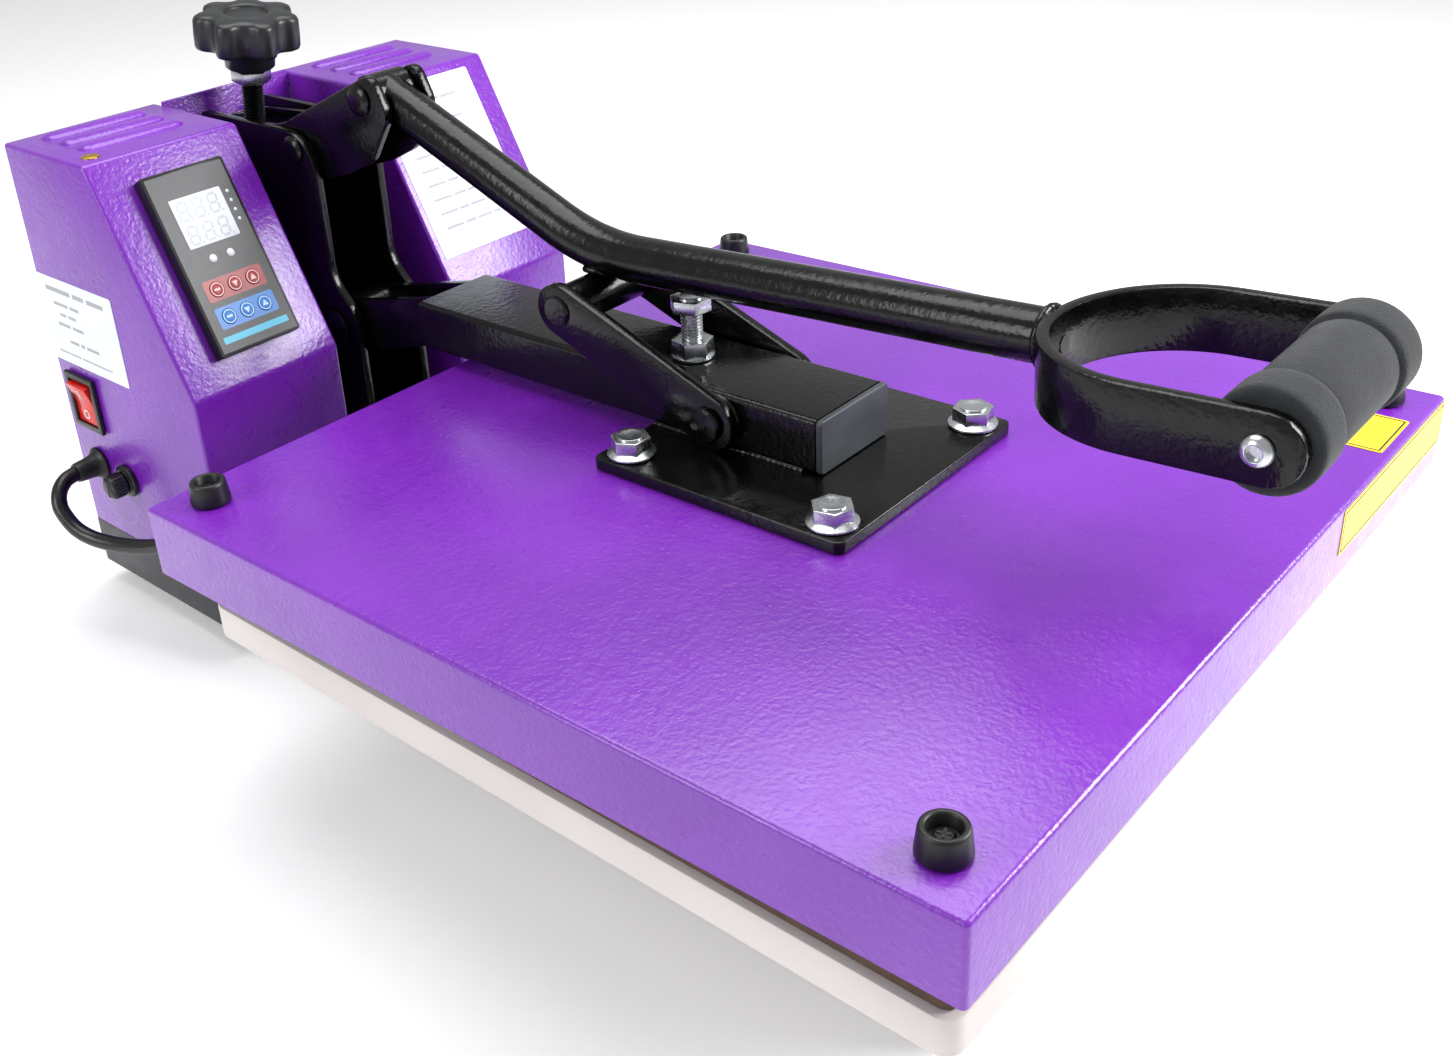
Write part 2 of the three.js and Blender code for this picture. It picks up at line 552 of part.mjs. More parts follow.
function buildUpperPlaten() {
  const halfW = COVER_W / 2;
  const halfD = COVER_D / 2;
  const sheet = COVER_SHEET;
  const cover = cut(
    block(-halfW, halfW, -halfD, halfD, -COVER_H, 0),
    block(-halfW + sheet, halfW - sheet, -halfD + sheet, halfD - sheet, -COVER_H - 1, -sheet),
    ...boltHoles(-sheet - 1, 1),
    new THREE.CylinderGeometry(LEAD_R + GAP, LEAD_R + GAP, 8, 24).translate(LEAD_X, halfD, LEAD_Z));
  addUpper('platen_cover', cover, PURPLE);

  const platenTop = PLATEN_FACE + PLATEN_T;
  const platen = cut(
    flatPlate(roundRect(-PLATEN_W / 2, PLATEN_W / 2, -PLATEN_D / 2, PLATEN_D / 2, 6), PLATEN_FACE, platenTop, 4),
    ...boltHoles(BOLT_TIP - GAP, platenTop + 1));
  addUpper('heating_platen', platen, ALUMINIUM);

  const blanket = cut(
    block(-PLATEN_W / 2, PLATEN_W / 2, -PLATEN_D / 2, PLATEN_D / 2, platenTop + GAP, -sheet - GAP),
    ...boltHoles(platenTop, 0));
  addUpper('insulation_blanket', blanket, WOOL);

  const plateHalf = PLATE_SIDE / 2;
  const plate = cut(flatPlate(roundRect(-plateHalf, plateHalf, -plateHalf, plateHalf, 3), GAP, GAP + PLATE_T, 4),
    ...boltHoles(0, GAP + PLATE_T + 1));
  addUpper('mounting_plate', plate, BLACK_STEEL);

  for (const [name, [sx, sy]] of Object.entries(BOLT_PLACES)) {
    const x = sx * BOLT_PITCH / 2;
    const y = sy * BOLT_PITCH / 2;
    const seat = 2 * GAP + PLATE_T;
    addUpper(name, join(
      barZ(BOLT_R, BOLT_R, BOLT_TIP, seat + 1, x, y, 20),
      barZ(11, 10, seat, seat + 2, x, y, 24),
      hexagon(16, seat + 1, seat + 9, x, y)), ZINC);
  }

  for (const [name, [sx, sy]] of Object.entries({
    cover_cap_front_left: [-1, -1], cover_cap_front_right: [1, -1],
    cover_cap_rear_left: [-1, 1], cover_cap_rear_right: [1, 1] })) {
    const cap = turned([[0, GAP], [8.9, GAP], [8.9, 2], [7.8, 10.8], [5.6, 10.8], [5, 6], [0, 6]], 18);
    addUpper(name, cap.translate(sx * (halfW - CAP_INSET), sy * (halfD - CAP_INSET), 0), RUBBER);
  }
}

// ---------------------------------------------------------------- press arm
function lugOutline() {
  const shape = new THREE.Shape();
  shape.moveTo(ARM_REAR - 36, ARM_BOTTOM + 1);
  shape.lineTo(ARM_REAR - 10, ARM_BOTTOM + 1);
  shape.lineTo(HINGE_Y - 8, -13.5);
  shape.absarc(HINGE_Y, 0, 14, -2.2, 1.4, false);
  shape.lineTo(ARM_REAR, ARM_TOP - 1);
  shape.lineTo(ARM_REAR - 36, ARM_TOP - 1);
  return shape;
}

const LUG_OUT = TOWER_IN - 2;
const LUG_IN = LUG_OUT - 5;

function buildArm() {
  const half = ARM_W / 2;
  const wall = ARM_WALL;
  const tube = sideTube(half, wall);
  const lugs = [[-LUG_OUT, -LUG_IN], [LUG_IN, LUG_OUT]].map(([x0, x1]) => sidePlate(lugOutline(), x0, x1));
  const sleeve = barX(14, -TOWER_IN + RUN, TOWER_IN - RUN, HINGE_Y, 0, 24);
  const bosses = barX(12, -LINK_IN + RUN, -half + 1, LINK_LOW_Y, LINK_LOW_Z);
  const bossesRight = barX(12, half - 1, LINK_IN - RUN, LINK_LOW_Y, LINK_LOW_Z);
  const arm = cut(
    join(tube, ...lugs, sleeve, bosses, bossesRight),
    barX(HINGE_R + GAP, -TOWER_IN - 1, TOWER_IN + 1, HINGE_Y, 0),
    barX(PIN_R + GAP, -LINK_IN - 1, -half + wall + 1, LINK_LOW_Y, LINK_LOW_Z),
    barX(PIN_R + GAP, half - wall - 1, LINK_IN + 1, LINK_LOW_Y, LINK_LOW_Z),
    barZ(5 + GAP, 5 + GAP, ARM_TOP - wall - 1, ARM_TOP + 1, 0, STOP_Y));
  addUpper('press_arm', arm, BLACK_STEEL);

  const plugHalf = half - wall - GAP;
  addUpper('arm_end_cap', join(
    block(-half, half, ARM_FRONT - GAP - END_CAP_T, ARM_FRONT - GAP, ARM_BOTTOM, ARM_TOP),
    block(-plugHalf, plugHalf, ARM_FRONT - 1, ARM_FRONT + 10, ARM_BOTTOM + wall + GAP, ARM_TOP - wall - GAP)),
  BLACK_PLASTIC);

  for (const [name, side] of [['link_bolt_left', -1], ['link_bolt_right', 1]]) {
    const inner = half - wall - 3;
    const seat = LINK_IN + LINK_T + GAP;
    const bolt = join(
      barX(PIN_R, inner, seat + 1, LINK_LOW_Y, LINK_LOW_Z, 20),
      barX(8, seat, seat + 4, LINK_LOW_Y, LINK_LOW_Z, 24));
    addUpper(name, side < 0 ? bolt.rotateZ(Math.PI).translate(0, 2 * LINK_LOW_Y, 0) : bolt, BLACK_STEEL);
  }

  const nutTop = ARM_TOP + GAP + 8;
  addUpper('stop_nut', cut(join(
    barZ(10, 10, ARM_TOP + GAP, ARM_TOP + GAP + 1.6, 0, STOP_Y),
    hexagon(17, ARM_TOP + GAP + 1.5, nutTop + 1.5, 0, STOP_Y)),
  barZ(5 + GAP, 5 + GAP, ARM_TOP, nutTop + 3, 0, STOP_Y)), ZINC);
  addUpper('stop_bolt', join(
    barZ(5, 5, ARM_TOP - 12, ARM_TOP + 25, 0, STOP_Y, 20),
    hexagon(17, ARM_TOP + 24, ARM_TOP + 30.3, 0, STOP_Y)), ZINC);
}

function sideTube(half, wall) {
  return cut(
    block(-half, half, ARM_FRONT, ARM_REAR, ARM_BOTTOM, ARM_TOP),
    block(-half + wall, half - wall, ARM_FRONT - 1, ARM_REAR + 1, ARM_BOTTOM + wall, ARM_TOP - wall));
}

// ---------------------------------------------------------------- links, in the press frame
function fromUpper(y, z) {
  const tilt = THREE.MathUtils.degToRad(TILT_DEG);
  const dy = y - HINGE_Y;
  return [
    HINGE_Y + Math.cos(tilt) * dy + Math.sin(tilt) * z,
    COVER_TOP - Math.sin(tilt) * dy + Math.cos(tilt) * z,
  ];
}

function buildLinks() {
  const [lowY, lowZ] = fromUpper(LINK_LOW_Y, LINK_LOW_Z);
  const length = Math.hypot(LINK_TOP_Y - lowY, LINK_TOP_Z - lowZ);
  const angle = Math.atan2(LINK_TOP_Z - lowZ, LINK_TOP_Y - lowY);
  const shape = new THREE.Shape();
  shape.absarc(0, 0, LINK_W / 2, Math.PI / 2, 1.5 * Math.PI);
  shape.absarc(length, 0, LINK_W / 2, -Math.PI / 2, Math.PI / 2);
  const hole = new THREE.Path();
  hole.absarc(0, 0, PIN_R + GAP, 0, 2 * Math.PI, true);
  shape.holes.push(hole);
  for (const [name, x0] of [['link_left', -LINK_IN - LINK_T], ['link_right', LINK_IN]]) {
    const link = addPiece(press, name, sidePlate(shape, x0, x0 + LINK_T, 6), BLACK_STEEL);
    link.position.set(0, lowY, lowZ);
    link.rotation.x = angle;
  }
}

// ---------------------------------------------------------------- pressure bracket and screw
function earOutline() {
  const shape = new THREE.Shape();
  shape.moveTo(258, 247.5);
  shape.lineTo(241.5, 270.5);
  shape.quadraticCurveTo(239.8, 273.5, 241.5, 276);
  shape.lineTo(248, 289.5);
  shape.quadraticCurveTo(251, 294, 256.5, 290.6);
  shape.lineTo(334, 255.5);
  shape.lineTo(TOWER_REAR - TOWER_T - 3, 252);
  shape.lineTo(TOWER_REAR - TOWER_T - 3, 232);
  shape.lineTo(302, 230.5);
  shape.lineTo(278, 238);
  return shape;
}

// the screw's own frame: Z along the screw, zero at its reference point
function onScrew(geometry) {
  return geometry.rotateX(THREE.MathUtils.degToRad(SCREW_LEAN_DEG)).translate(0, SCREW_Y, SCREW_Z);
}

function buildBracket() {
  const earIn = EAR_OUT - EAR_T;
  const ears = [[-EAR_OUT, -earIn], [earIn, EAR_OUT]].map(([x0, x1]) => sidePlate(earOutline(), x0, x1, 6));
  const nutPlate = onScrew(block(-earIn - 1, earIn + 1, -16, 8, -40, -33));
  const boss = onScrew(barZ(10, 10, -46, -39, 0, 0, 24));
  const bracket = cut(
    join(...ears, nutPlate, boss),
    onScrew(barZ(SCREW_R + 1.2, SCREW_R + 1.2, -50, -30, 0, 0)),
    barX(PIN_R + GAP, -EAR_OUT - 1, EAR_OUT + 1, PIVOT_Y, PIVOT_Z),
    barX(PIN_R + GAP, -EAR_OUT - 1, EAR_OUT + 1, GRIP_PIVOT_Y, GRIP_PIVOT_Z));
  addPiece(press, 'pressure_bracket', bracket, BLACK_STEEL);

  const reach = EAR_OUT + GAP;
  addPiece(press, 'handle_pin', join(
    barX(PIN_R, -reach - 1, reach + 1, GRIP_PIVOT_Y, GRIP_PIVOT_Z, 20),
    barX(PIN_R + 3, -reach - 3, -reach, GRIP_PIVOT_Y, GRIP_PIVOT_Z, 24),
    barX(PIN_R + 3, reach, reach + 3, GRIP_PIVOT_Y, GRIP_PIVOT_Z, 24)), BLACK_STEEL);

  addPiece(press, 'pressure_screw', onScrew(join(
    barZ(SCREW_R, SCREW_R, -68, 4, 0, 0, 24),
    barZ(2.5, SCREW_R, -73, -67.9, 0, 0, 24))), BLACK_STEEL);
  const nut = cut(hexagon(19, -8, -1, 0, 0), barZ(SCREW_R + GAP, SCREW_R + GAP, -9, 0, 0, 0, 24));
  addPiece(press, 'knob_nut', onScrew(nut), ZINC);
  addPiece(press, 'pressure_knob', onScrew(knobSolid()), BLACK_PLASTIC);
}

function knobSolid() {
  const rim = new THREE.Shape();
  const steps = KNOB_LOBES * 6;
  const radiusAt = (turn) => {
    const wave = Math.cos(turn * KNOB_LOBES);
    return KNOB_R - 3.2 + 3.2 * Math.sign(wave) * Math.abs(wave) ** 0.6;
  };
  for (let step = 0; step < steps; step += 1) {
    const turn = (2 * Math.PI * step) / steps;
    const radius = radiusAt(turn);
    rim[step === 0 ? 'moveTo' : 'lineTo'](radius * Math.cos(turn), radius * Math.sin(turn));
  }
  const bottom = KNOB_HUB_H;
  const lobes = new THREE.ExtrudeGeometry(rim, { depth: KNOB_H - 4, bevelEnabled: true, bevelThickness: 2,
    bevelSize: 1.6, bevelOffset: -1.6, bevelSegments: 1 }).translate(0, 0, bottom + 2);
  const dished = cut(
    join(lobes, barZ(KNOB_HUB_R - 0.5, KNOB_HUB_R, 0, bottom + 1, 0, 0, 32)),
    barZ(SCREW_R + GAP, SCREW_R + GAP, -1, 4 + GAP, 0, 0, 24),
    turned([[0, bottom + KNOB_H - 2], [9, bottom + KNOB_H - 2], [12, bottom + KNOB_H + 1], [0, bottom + KNOB_H + 1]], 20));
  return dished;
}

// ---------------------------------------------------------------- handle
function handlePath() {
  const bend = new THREE.Vector3(0, BEND_Y, BEND_Z);
  const back = new THREE.Vector3(0, GRIP_PIVOT_Y, GRIP_PIVOT_Z);
  const frontY = LOOP_CENTRE_Y + LOOP_R;
  const front = new THREE.Vector3(0, frontY - 0.5, BEND_Z + (BEND_Y - frontY + 0.5) * FRONT_RISE);
  const toBack = back.clone().sub(bend).setLength(BEND_CUT).add(bend);
  const toFront = front.clone().sub(bend).setLength(BEND_CUT).add(bend);
  const path = new THREE.CurvePath();
  path.add(new THREE.LineCurve3(back, toBack));
  path.add(new THREE.QuadraticBezierCurve3(toBack, bend, toFront));
  path.add(new THREE.LineCurve3(toFront, front));
  return path;
}

function loopShape(radius) {
  const shape = new THREE.Shape();
  shape.moveTo(radius, LOOP_END_Y);
  shape.lineTo(radius, LOOP_CENTRE_Y);
  shape.absarc(0, LOOP_CENTRE_Y, radius, 0, Math.PI);
  shape.lineTo(-radius, LOOP_END_Y);
  return shape;
}

// the loop is drawn level about its own centre height, then tipped with the handle's front run
function alongHandle(geometry) {
  geometry.translate(0, -LOOP_CENTRE_Y, 0);
  geometry.rotateX(-THREE.MathUtils.degToRad(FRONT_RISE_DEG));
  return geometry.translate(0, LOOP_CENTRE_Y, LOOP_Z);
}

function buildHandle() {
  const crossHalf = EAR_OUT - EAR_T - RUN;
  const tube = sweep(handlePath(), TUBE_R, 26, 18);
  const eye = barX(TUBE_R, -crossHalf, crossHalf, GRIP_PIVOT_Y, GRIP_PIVOT_Z, 24);
  const linkBar = barX(CROSS_R, -LINK_IN + RUN, LINK_IN - RUN, LINK_TOP_Y, LINK_TOP_Z, 20);
  const saddle = block(-7, 7, LINK_TOP_Y - 7, LINK_TOP_Y + 9, LINK_TOP_Z + 4, BEND_Z - 4);
  const handle = cut(
    join(tube, eye, linkBar, saddle),
    barX(PIN_R + BRACKET_THROW + RUN, -crossHalf - 1, crossHalf + 1, GRIP_PIVOT_Y, GRIP_PIVOT_Z),
    alongHandle(cutOuterLoop()));
  addPiece(press, 'handle_tube', handle, BLACK_STEEL);

  const half = LOOP_H / 2;
  const outer = flatPlate(loopShape(LOOP_R), -half, half, 12);
  const inner = flatPlate(loopShape(LOOP_R - LOOP_T), -half - 1, half + 1, 12);
  inner.translate(0, -2, 0);
  const side = new THREE.Shape();
  side.moveTo(LOOP_CENTRE_Y + LOOP_R + 5, -half);
  side.lineTo(LOOP_CENTRE_Y + LOOP_R + 5, half);
  side.lineTo(LOOP_END_Y + half, half);
  side.absarc(LOOP_END_Y + half, 0, half, Math.PI / 2, 1.5 * Math.PI);
  const loop = cut(
    common(cut(outer, inner), sidePlate(side, -LOOP_R - 1, LOOP_R + 1, 6)),
    barX(GRIP_BOLT_R + GAP, -LOOP_R - 1, LOOP_R + 1, GRIP_Y, 0, 20),
    new THREE.CylinderGeometry(3, 3, 12, 16).translate(0, LOOP_CENTRE_Y + LOOP_R - LOOP_T / 2, 0));
  addPiece(press, 'handle_loop', alongHandle(loop), BLACK_STEEL);

  const inside = LOOP_R - LOOP_T - GAP;
  const bore = GRIP_BOLT_R + GAP;
  const foam = turned([
    [bore, -inside], [FOAM_END_R - 2, -inside], [FOAM_END_R, -inside + 3], [FOAM_END_R, -27], [FOAM_MID_R - 1, -25.5],
    [FOAM_MID_R, -23], [FOAM_MID_R, 23], [FOAM_MID_R - 1, 25.5], [FOAM_END_R, 27], [FOAM_END_R, inside - 3],
    [FOAM_END_R - 2, inside], [bore, inside], [bore, -inside]], 22);
  foam.rotateY(Math.PI / 2).translate(0, GRIP_Y, 0);
  addPiece(press, 'foam_grip', alongHandle(foam), FOAM);

  const head = [
    [GRIP_BOLT_R, LOOP_R + GAP], [5.7, LOOP_R + GAP], [5.7, LOOP_R + 2.2], [4.7, LOOP_R + 3.4], [0, LOOP_R + 3.4]];
  const mirrored = head.map(([radius, height]) => [radius, -height]).reverse();
  const sockets = [-1, 1].map((side) =>
    new THREE.CylinderGeometry(2.9, 2.9, 5, 6).rotateX(Math.PI / 2).translate(0, 0, side * (LOOP_R + 3.4)));
  const bolt = cut(turned([...mirrored, ...head], 24), ...sockets);
  bolt.rotateY(Math.PI / 2).translate(0, GRIP_Y, 0);
  addPiece(press, 'grip_bolt', alongHandle(bolt), ZINC);
}

const GRIP_Y = LOOP_END_Y + 15;

// the space the loop's bar takes, so that the tube ends against it
function cutOuterLoop() {
  return flatPlate(loopShape(LOOP_R + GAP), -LOOP_H, LOOP_H, 12);
}

// ---------------------------------------------------------------- heater cable
// across, the share of the way from the end of the cover's gland to the box's gland, and height
const LEAD_OUT = 15.5;
const CABLE_ROUTE = [
  [-148.8, 1, 84], [-155.3, 0.996, 83], [-160.8, 0.982, 80.1], [-164.5, 0.961, 75.8],
  [-165.8, 0.937, 70.7], [-164.6, 0.882, 62.8], [-160.5, 0.806, 58.5], [-154, 0.687, 58.6],
  [-148.5, 0.552, 64], [-144, 0.411, 74.5], [-141, 0.28, 89], [-139.6, 0.174, 105],
  [-139.1, 0.091, 119], [LEAD_X, 0.038, 128.2], [LEAD_X, 0, 130.7],
];

function buildCable() {
  const rear = COVER_D / 2 + LEAD_OUT;
  const points = CABLE_ROUTE.map(([x, share, z]) => new THREE.Vector3(x, rear + share * (GLAND_Y - rear), z));
  addPiece(press, 'heater_cable', sweep(points, CABLE_R, 26, 8), RUBBER);
  const gland = turned([
    [0, -4], [LEAD_R, -4], [LEAD_R, GAP], [8.5, GAP], [8.5, 2.5], [6.5, 5], [5.8, 12], [0, 12]], 24);
  gland.rotateX(-Math.PI / 2).translate(LEAD_X, COVER_D / 2, LEAD_Z);
  addUpper('cover_gland', gland, RUBBER);
}

buildBase();
buildTower();
buildBoxes();
buildController();
buildFittings();
buildUpperPlaten();
buildArm();
buildLinks();
buildBracket();
buildHandle();
buildCable();

// the origin is on the table, under the middle of the whole press
press.updateMatrixWorld(true);
const extent = new THREE.Box3().setFromObject(press, true);
press.position.y = -(extent.min.y + extent.max.y) / 2;

export default press;
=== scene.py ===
# %% [markdown]
# # A clamshell heat press
# A heat press is a big iron with a lid. The upper platen hangs from a steel arm, a bent handle pulls
# it down through two links, and a lobed knob at the back sets how hard it squeezes. Two folded steel
# boxes at the rear hold the controller and the wiring.
# The solid model is loaded first, because every piece made here rides on one of its moving bodies.

# %% Load the solid model
import math

import bmesh
import bpy
from mathutils import Matrix, Vector, noise


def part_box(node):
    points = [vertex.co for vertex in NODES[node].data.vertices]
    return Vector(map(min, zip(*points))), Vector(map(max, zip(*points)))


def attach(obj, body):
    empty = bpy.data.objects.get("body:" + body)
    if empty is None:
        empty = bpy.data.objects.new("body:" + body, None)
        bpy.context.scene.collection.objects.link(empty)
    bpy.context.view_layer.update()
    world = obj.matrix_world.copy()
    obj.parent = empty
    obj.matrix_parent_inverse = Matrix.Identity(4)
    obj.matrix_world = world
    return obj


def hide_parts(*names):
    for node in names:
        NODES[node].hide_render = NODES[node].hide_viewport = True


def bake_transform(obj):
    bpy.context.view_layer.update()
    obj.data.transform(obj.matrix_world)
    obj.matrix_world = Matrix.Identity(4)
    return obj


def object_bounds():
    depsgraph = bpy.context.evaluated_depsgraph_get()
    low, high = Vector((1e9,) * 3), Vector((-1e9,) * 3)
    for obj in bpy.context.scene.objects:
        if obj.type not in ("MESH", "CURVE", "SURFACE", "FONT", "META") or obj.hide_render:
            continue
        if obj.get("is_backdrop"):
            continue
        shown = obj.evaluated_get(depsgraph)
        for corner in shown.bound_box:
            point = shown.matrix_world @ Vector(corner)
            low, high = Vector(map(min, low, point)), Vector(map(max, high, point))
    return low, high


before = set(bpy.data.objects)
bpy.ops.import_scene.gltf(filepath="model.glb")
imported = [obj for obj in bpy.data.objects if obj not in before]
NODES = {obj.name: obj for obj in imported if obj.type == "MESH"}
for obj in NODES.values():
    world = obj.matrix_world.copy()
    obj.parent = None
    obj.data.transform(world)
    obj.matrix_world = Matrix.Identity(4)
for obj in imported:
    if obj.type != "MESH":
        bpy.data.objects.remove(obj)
CAD_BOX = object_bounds()
MM = 0.001
CLEARANCE = 0.3

# %% [markdown]
# ## Places
# The press is drawn in millimetres. The middle of the closed platen is at y = 0, the table at z = 0.
# The model's own origin is elsewhere along y, so the hinge shaft's place tells how far to shift.
# A folded or leaning part gets its own frame, so that its pieces can be drawn level and then placed:
# the tilted upper platen, the sloping box fronts, the leaning screw and the loop of the handle.

# %% Frames of reference
def moved(x, y, z):
    """A shift by that much along each axis."""
    return Matrix.Translation((x, y, z))


HINGE_Y, HINGE_Z = 300.0, 149.0
hinge_low, hinge_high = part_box("arm_hinge_shaft")
SHIFT_Y = (hinge_low.y + hinge_high.y) / 2 - HINGE_Y * MM
PRESS = moved(0, SHIFT_Y, 0) @ Matrix.Scale(MM, 4)

BOX_IN, BOX_OUT, BOX_MID = 42.3, 132.5, 87.4
BOX_FRONT, BOX_FOLD, BOX_REAR = 275.0, 334.2, 410.5
BOX_BOTTOM, SLOPE_BOTTOM, BOX_TOP = 41.3, 152.0, 263.5
SLOPE_ANGLE = math.atan2(BOX_FOLD - BOX_FRONT, BOX_TOP - SLOPE_BOTTOM)
SLOPE_LENGTH = math.hypot(BOX_FOLD - BOX_FRONT, BOX_TOP - SLOPE_BOTTOM)


def placed(x, y, z):
    """A frame whose origin is at that point of the press."""
    return PRESS @ moved(x, y, z)


def turn(degrees, axis):
    """A rotation about one of the axes."""
    return Matrix.Rotation(math.radians(degrees), 4, axis)


def at(x, y, z):
    """A point of the press, in the model's metres."""
    return PRESS @ Vector((x, y, z))


UPPER_TILT = 1.04
UPPER = placed(0, HINGE_Y, HINGE_Z) @ turn(-UPPER_TILT, "X") @ moved(0, -HINGE_Y, 0)
SLOPE_TIP = 90 - math.degrees(SLOPE_ANGLE)
SLOPE_Y, SLOPE_Z = (BOX_FRONT + BOX_FOLD) / 2, (SLOPE_BOTTOM + BOX_TOP) / 2
LEFT_SLOPE = placed(-BOX_MID, SLOPE_Y, SLOPE_Z) @ turn(SLOPE_TIP, "X")
RIGHT_SLOPE = placed(BOX_MID, SLOPE_Y, SLOPE_Z) @ turn(SLOPE_TIP, "X")
SCREW_Y, SCREW_Z, SCREW_LEAN = 375.5, 279.0, 8.0
SCREW = placed(0, SCREW_Y, SCREW_Z) @ turn(SCREW_LEAN, "X")
SIDEWAYS = Matrix(((0, 0, 1, 0), (1, 0, 0, 0), (0, 1, 0, 0), (0, 0, 0, 1)))
print("slope", round(SLOPE_LENGTH, 1), "mm long at", round(math.degrees(SLOPE_ANGLE), 1), "degrees")

# %% [markdown]
# ## Camera
# A press this size is looked at from standing height, a little to its left. A lens of about 38 mm
# keeps the near corner of the platen large without bending it.

# %% Camera
CAMERA_PLACE = (-484.7, -353.2, 470.1)
CAMERA_AZIMUTH, CAMERA_DOWN, CAMERA_ROLL = -47.04, 27.87, -3.32


def camera_matrix():
    """Where the camera stands and how it is turned."""
    a, e, r = (math.radians(v) for v in (CAMERA_AZIMUTH, CAMERA_DOWN, CAMERA_ROLL))
    back = Vector((math.sin(a) * math.cos(e), -math.cos(a) * math.cos(e), math.sin(e)))
    right = (-back).cross(Vector((0, 0, 1))).normalized()
    up = right.cross(-back)
    across = right * math.cos(r) + up * math.sin(r)
    upward = -right * math.sin(r) + up * math.cos(r)
    turned_to = Matrix((across, upward, back)).transposed().to_4x4()
    return Matrix.Translation(at(*CAMERA_PLACE)) @ turned_to


camera_data = bpy.data.cameras.new("camera")
camera_data.lens = 37.73
camera_data.sensor_width = 36.0
camera_data.shift_x = 0.0589
camera_data.shift_y = -0.0479
camera = bpy.data.objects.new("camera", camera_data)
camera.matrix_world = camera_matrix()
bpy.context.scene.collection.objects.link(camera)
bpy.context.scene.camera = camera

# %% [markdown]
# ## Floor and light
# The press stands on a plain pale floor. A wide soft light overhead gives the paint its long soft
# sheen, a second one behind on the left draws the edges of the black steel, and a third from the
# right front keeps the near faces from going dark.

# %% Floor and light
scene = bpy.context.scene
scene.view_settings.view_transform = "Standard"


def linear(hex_colour):
    """An sRGB hex colour as the linear values that a shader takes."""
    channels = [int(hex_colour[i:i + 2], 16) / 255 for i in (1, 3, 5)]
    return [c / 12.92 if c <= 0.04045 else ((c + 0.055) / 1.055) ** 2.4 for c in channels] + [1.0]


def soft_light(name, place, target, size, watts):
    """A square soft box that faces a point."""
    data = bpy.data.lights.new(name, "AREA")
    data.shape = "RECTANGLE"
    data.size, data.size_y = size
    data.energy = watts
    light = bpy.data.objects.new(name, data)
    light.location = place
    light.rotation_euler = (Vector(target) - Vector(place)).to_track_quat("-Z", "Y").to_euler()
    scene.collection.objects.link(light)


world = bpy.data.worlds.new("studio")
scene.world = world
world.use_nodes = True
world.node_tree.nodes["Background"].inputs["Color"].default_value = (1, 1, 1, 1)
world.node_tree.nodes["Background"].inputs["Strength"].default_value = 0.5
soft_light("overhead", (0.2, 0.3, 1.7), (0.0, -0.05, 0.1), (1.5, 1.1), 23)
soft_light("left_rear", (-1.35, 0.45, 0.85), (-0.1, 0.2, 0.15), (0.6, 0.8), 9)
soft_light("right_front", (0.68, -0.86, 0.8), (-0.05, 0.15, 0.15), (0.6, 0.6), 20)

# %% [markdown]
# ## Materials
# Each finish is named for what it is on a real press. One helper adds a node with its settings and
# links. Patterns read Object coordinates, which are metres here, so a pattern whose features are
# 2.5 mm across has a scale of 1 / 0.0025 = 400.

# %% Node helper
def add_node(tree, kind, settings=None, **links):
    """A node of that kind, its settings, and its inputs as values or other nodes' sockets."""
    made = tree.nodes.new(kind)
    for key, value in (settings or {}).items():
        setattr(made, key, value)
    for key, value in links.items():
        socket = made.inputs[int(key[1:])] if key[0] == "_" else made.inputs[key.replace("_", " ")]
        if isinstance(value, bpy.types.NodeSocket):
            tree.links.new(value, socket)
        else:
            socket.default_value = value
    return made


def new_finish(name, **values):
    """A material with one Principled shader, and its tree, shader and Object coordinates."""
    material = bpy.data.materials.new(name)
    material.use_nodes = True
    tree = material.node_tree
    shader = tree.nodes["Principled BSDF"]
    for key, value in values.items():
        shader.inputs[key.replace("_", " ")].default_value = value
    coordinates = add_node(tree, "ShaderNodeTexCoord").outputs["Object"]
    return material, tree, shader, coordinates


def grain(tree, coordinates, millimetres, detail=2.0, roughness=0.5):
    """Soft noise whose blobs are that many millimetres across, from 0 to 1."""
    return add_node(tree, "ShaderNodeTexNoise", Vector=coordinates, Scale=1 / (millimetres * MM),
                    Detail=detail, Roughness=roughness).outputs["Fac"]


def between(tree, factor, low, high, start=0.3, end=0.7):
    """Noise from start to end, spread from low to high."""
    return add_node(tree, "ShaderNodeMapRange", Value=factor, From_Min=start, From_Max=end,
                    To_Min=low, To_Max=high).outputs["Result"]


def bumped(tree, shader, height, millimetres, strength=1.0):
    """Lets height, from 0 to 1, raise the surface by that many millimetres."""
    bump = add_node(tree, "ShaderNodeBump", Height=height, Distance=millimetres * MM, Strength=strength)
    tree.links.new(bump.outputs["Normal"], shader.inputs["Normal"])


def tinted(tree, shader, factor, low_hex, high_hex):
    """Colour that drifts between two near tones."""
    mix = add_node(tree, "ShaderNodeMix", {"data_type": "RGBA"}, Factor=factor)
    mix.inputs["A"].default_value = linear(low_hex)
    mix.inputs["B"].default_value = linear(high_hex)
    tree.links.new(mix.outputs["Result"], shader.inputs["Base Color"])


# %% [markdown]
# ### Powder coat
# The purple sheet metal and the black steel are powder coated: dry paint melted on in an oven. It
# never flows quite flat. The purple has a leathery orange peel of blobs about 2 mm across, which
# breaks up the sheen, and the black has a shallower one under a wetter gloss.

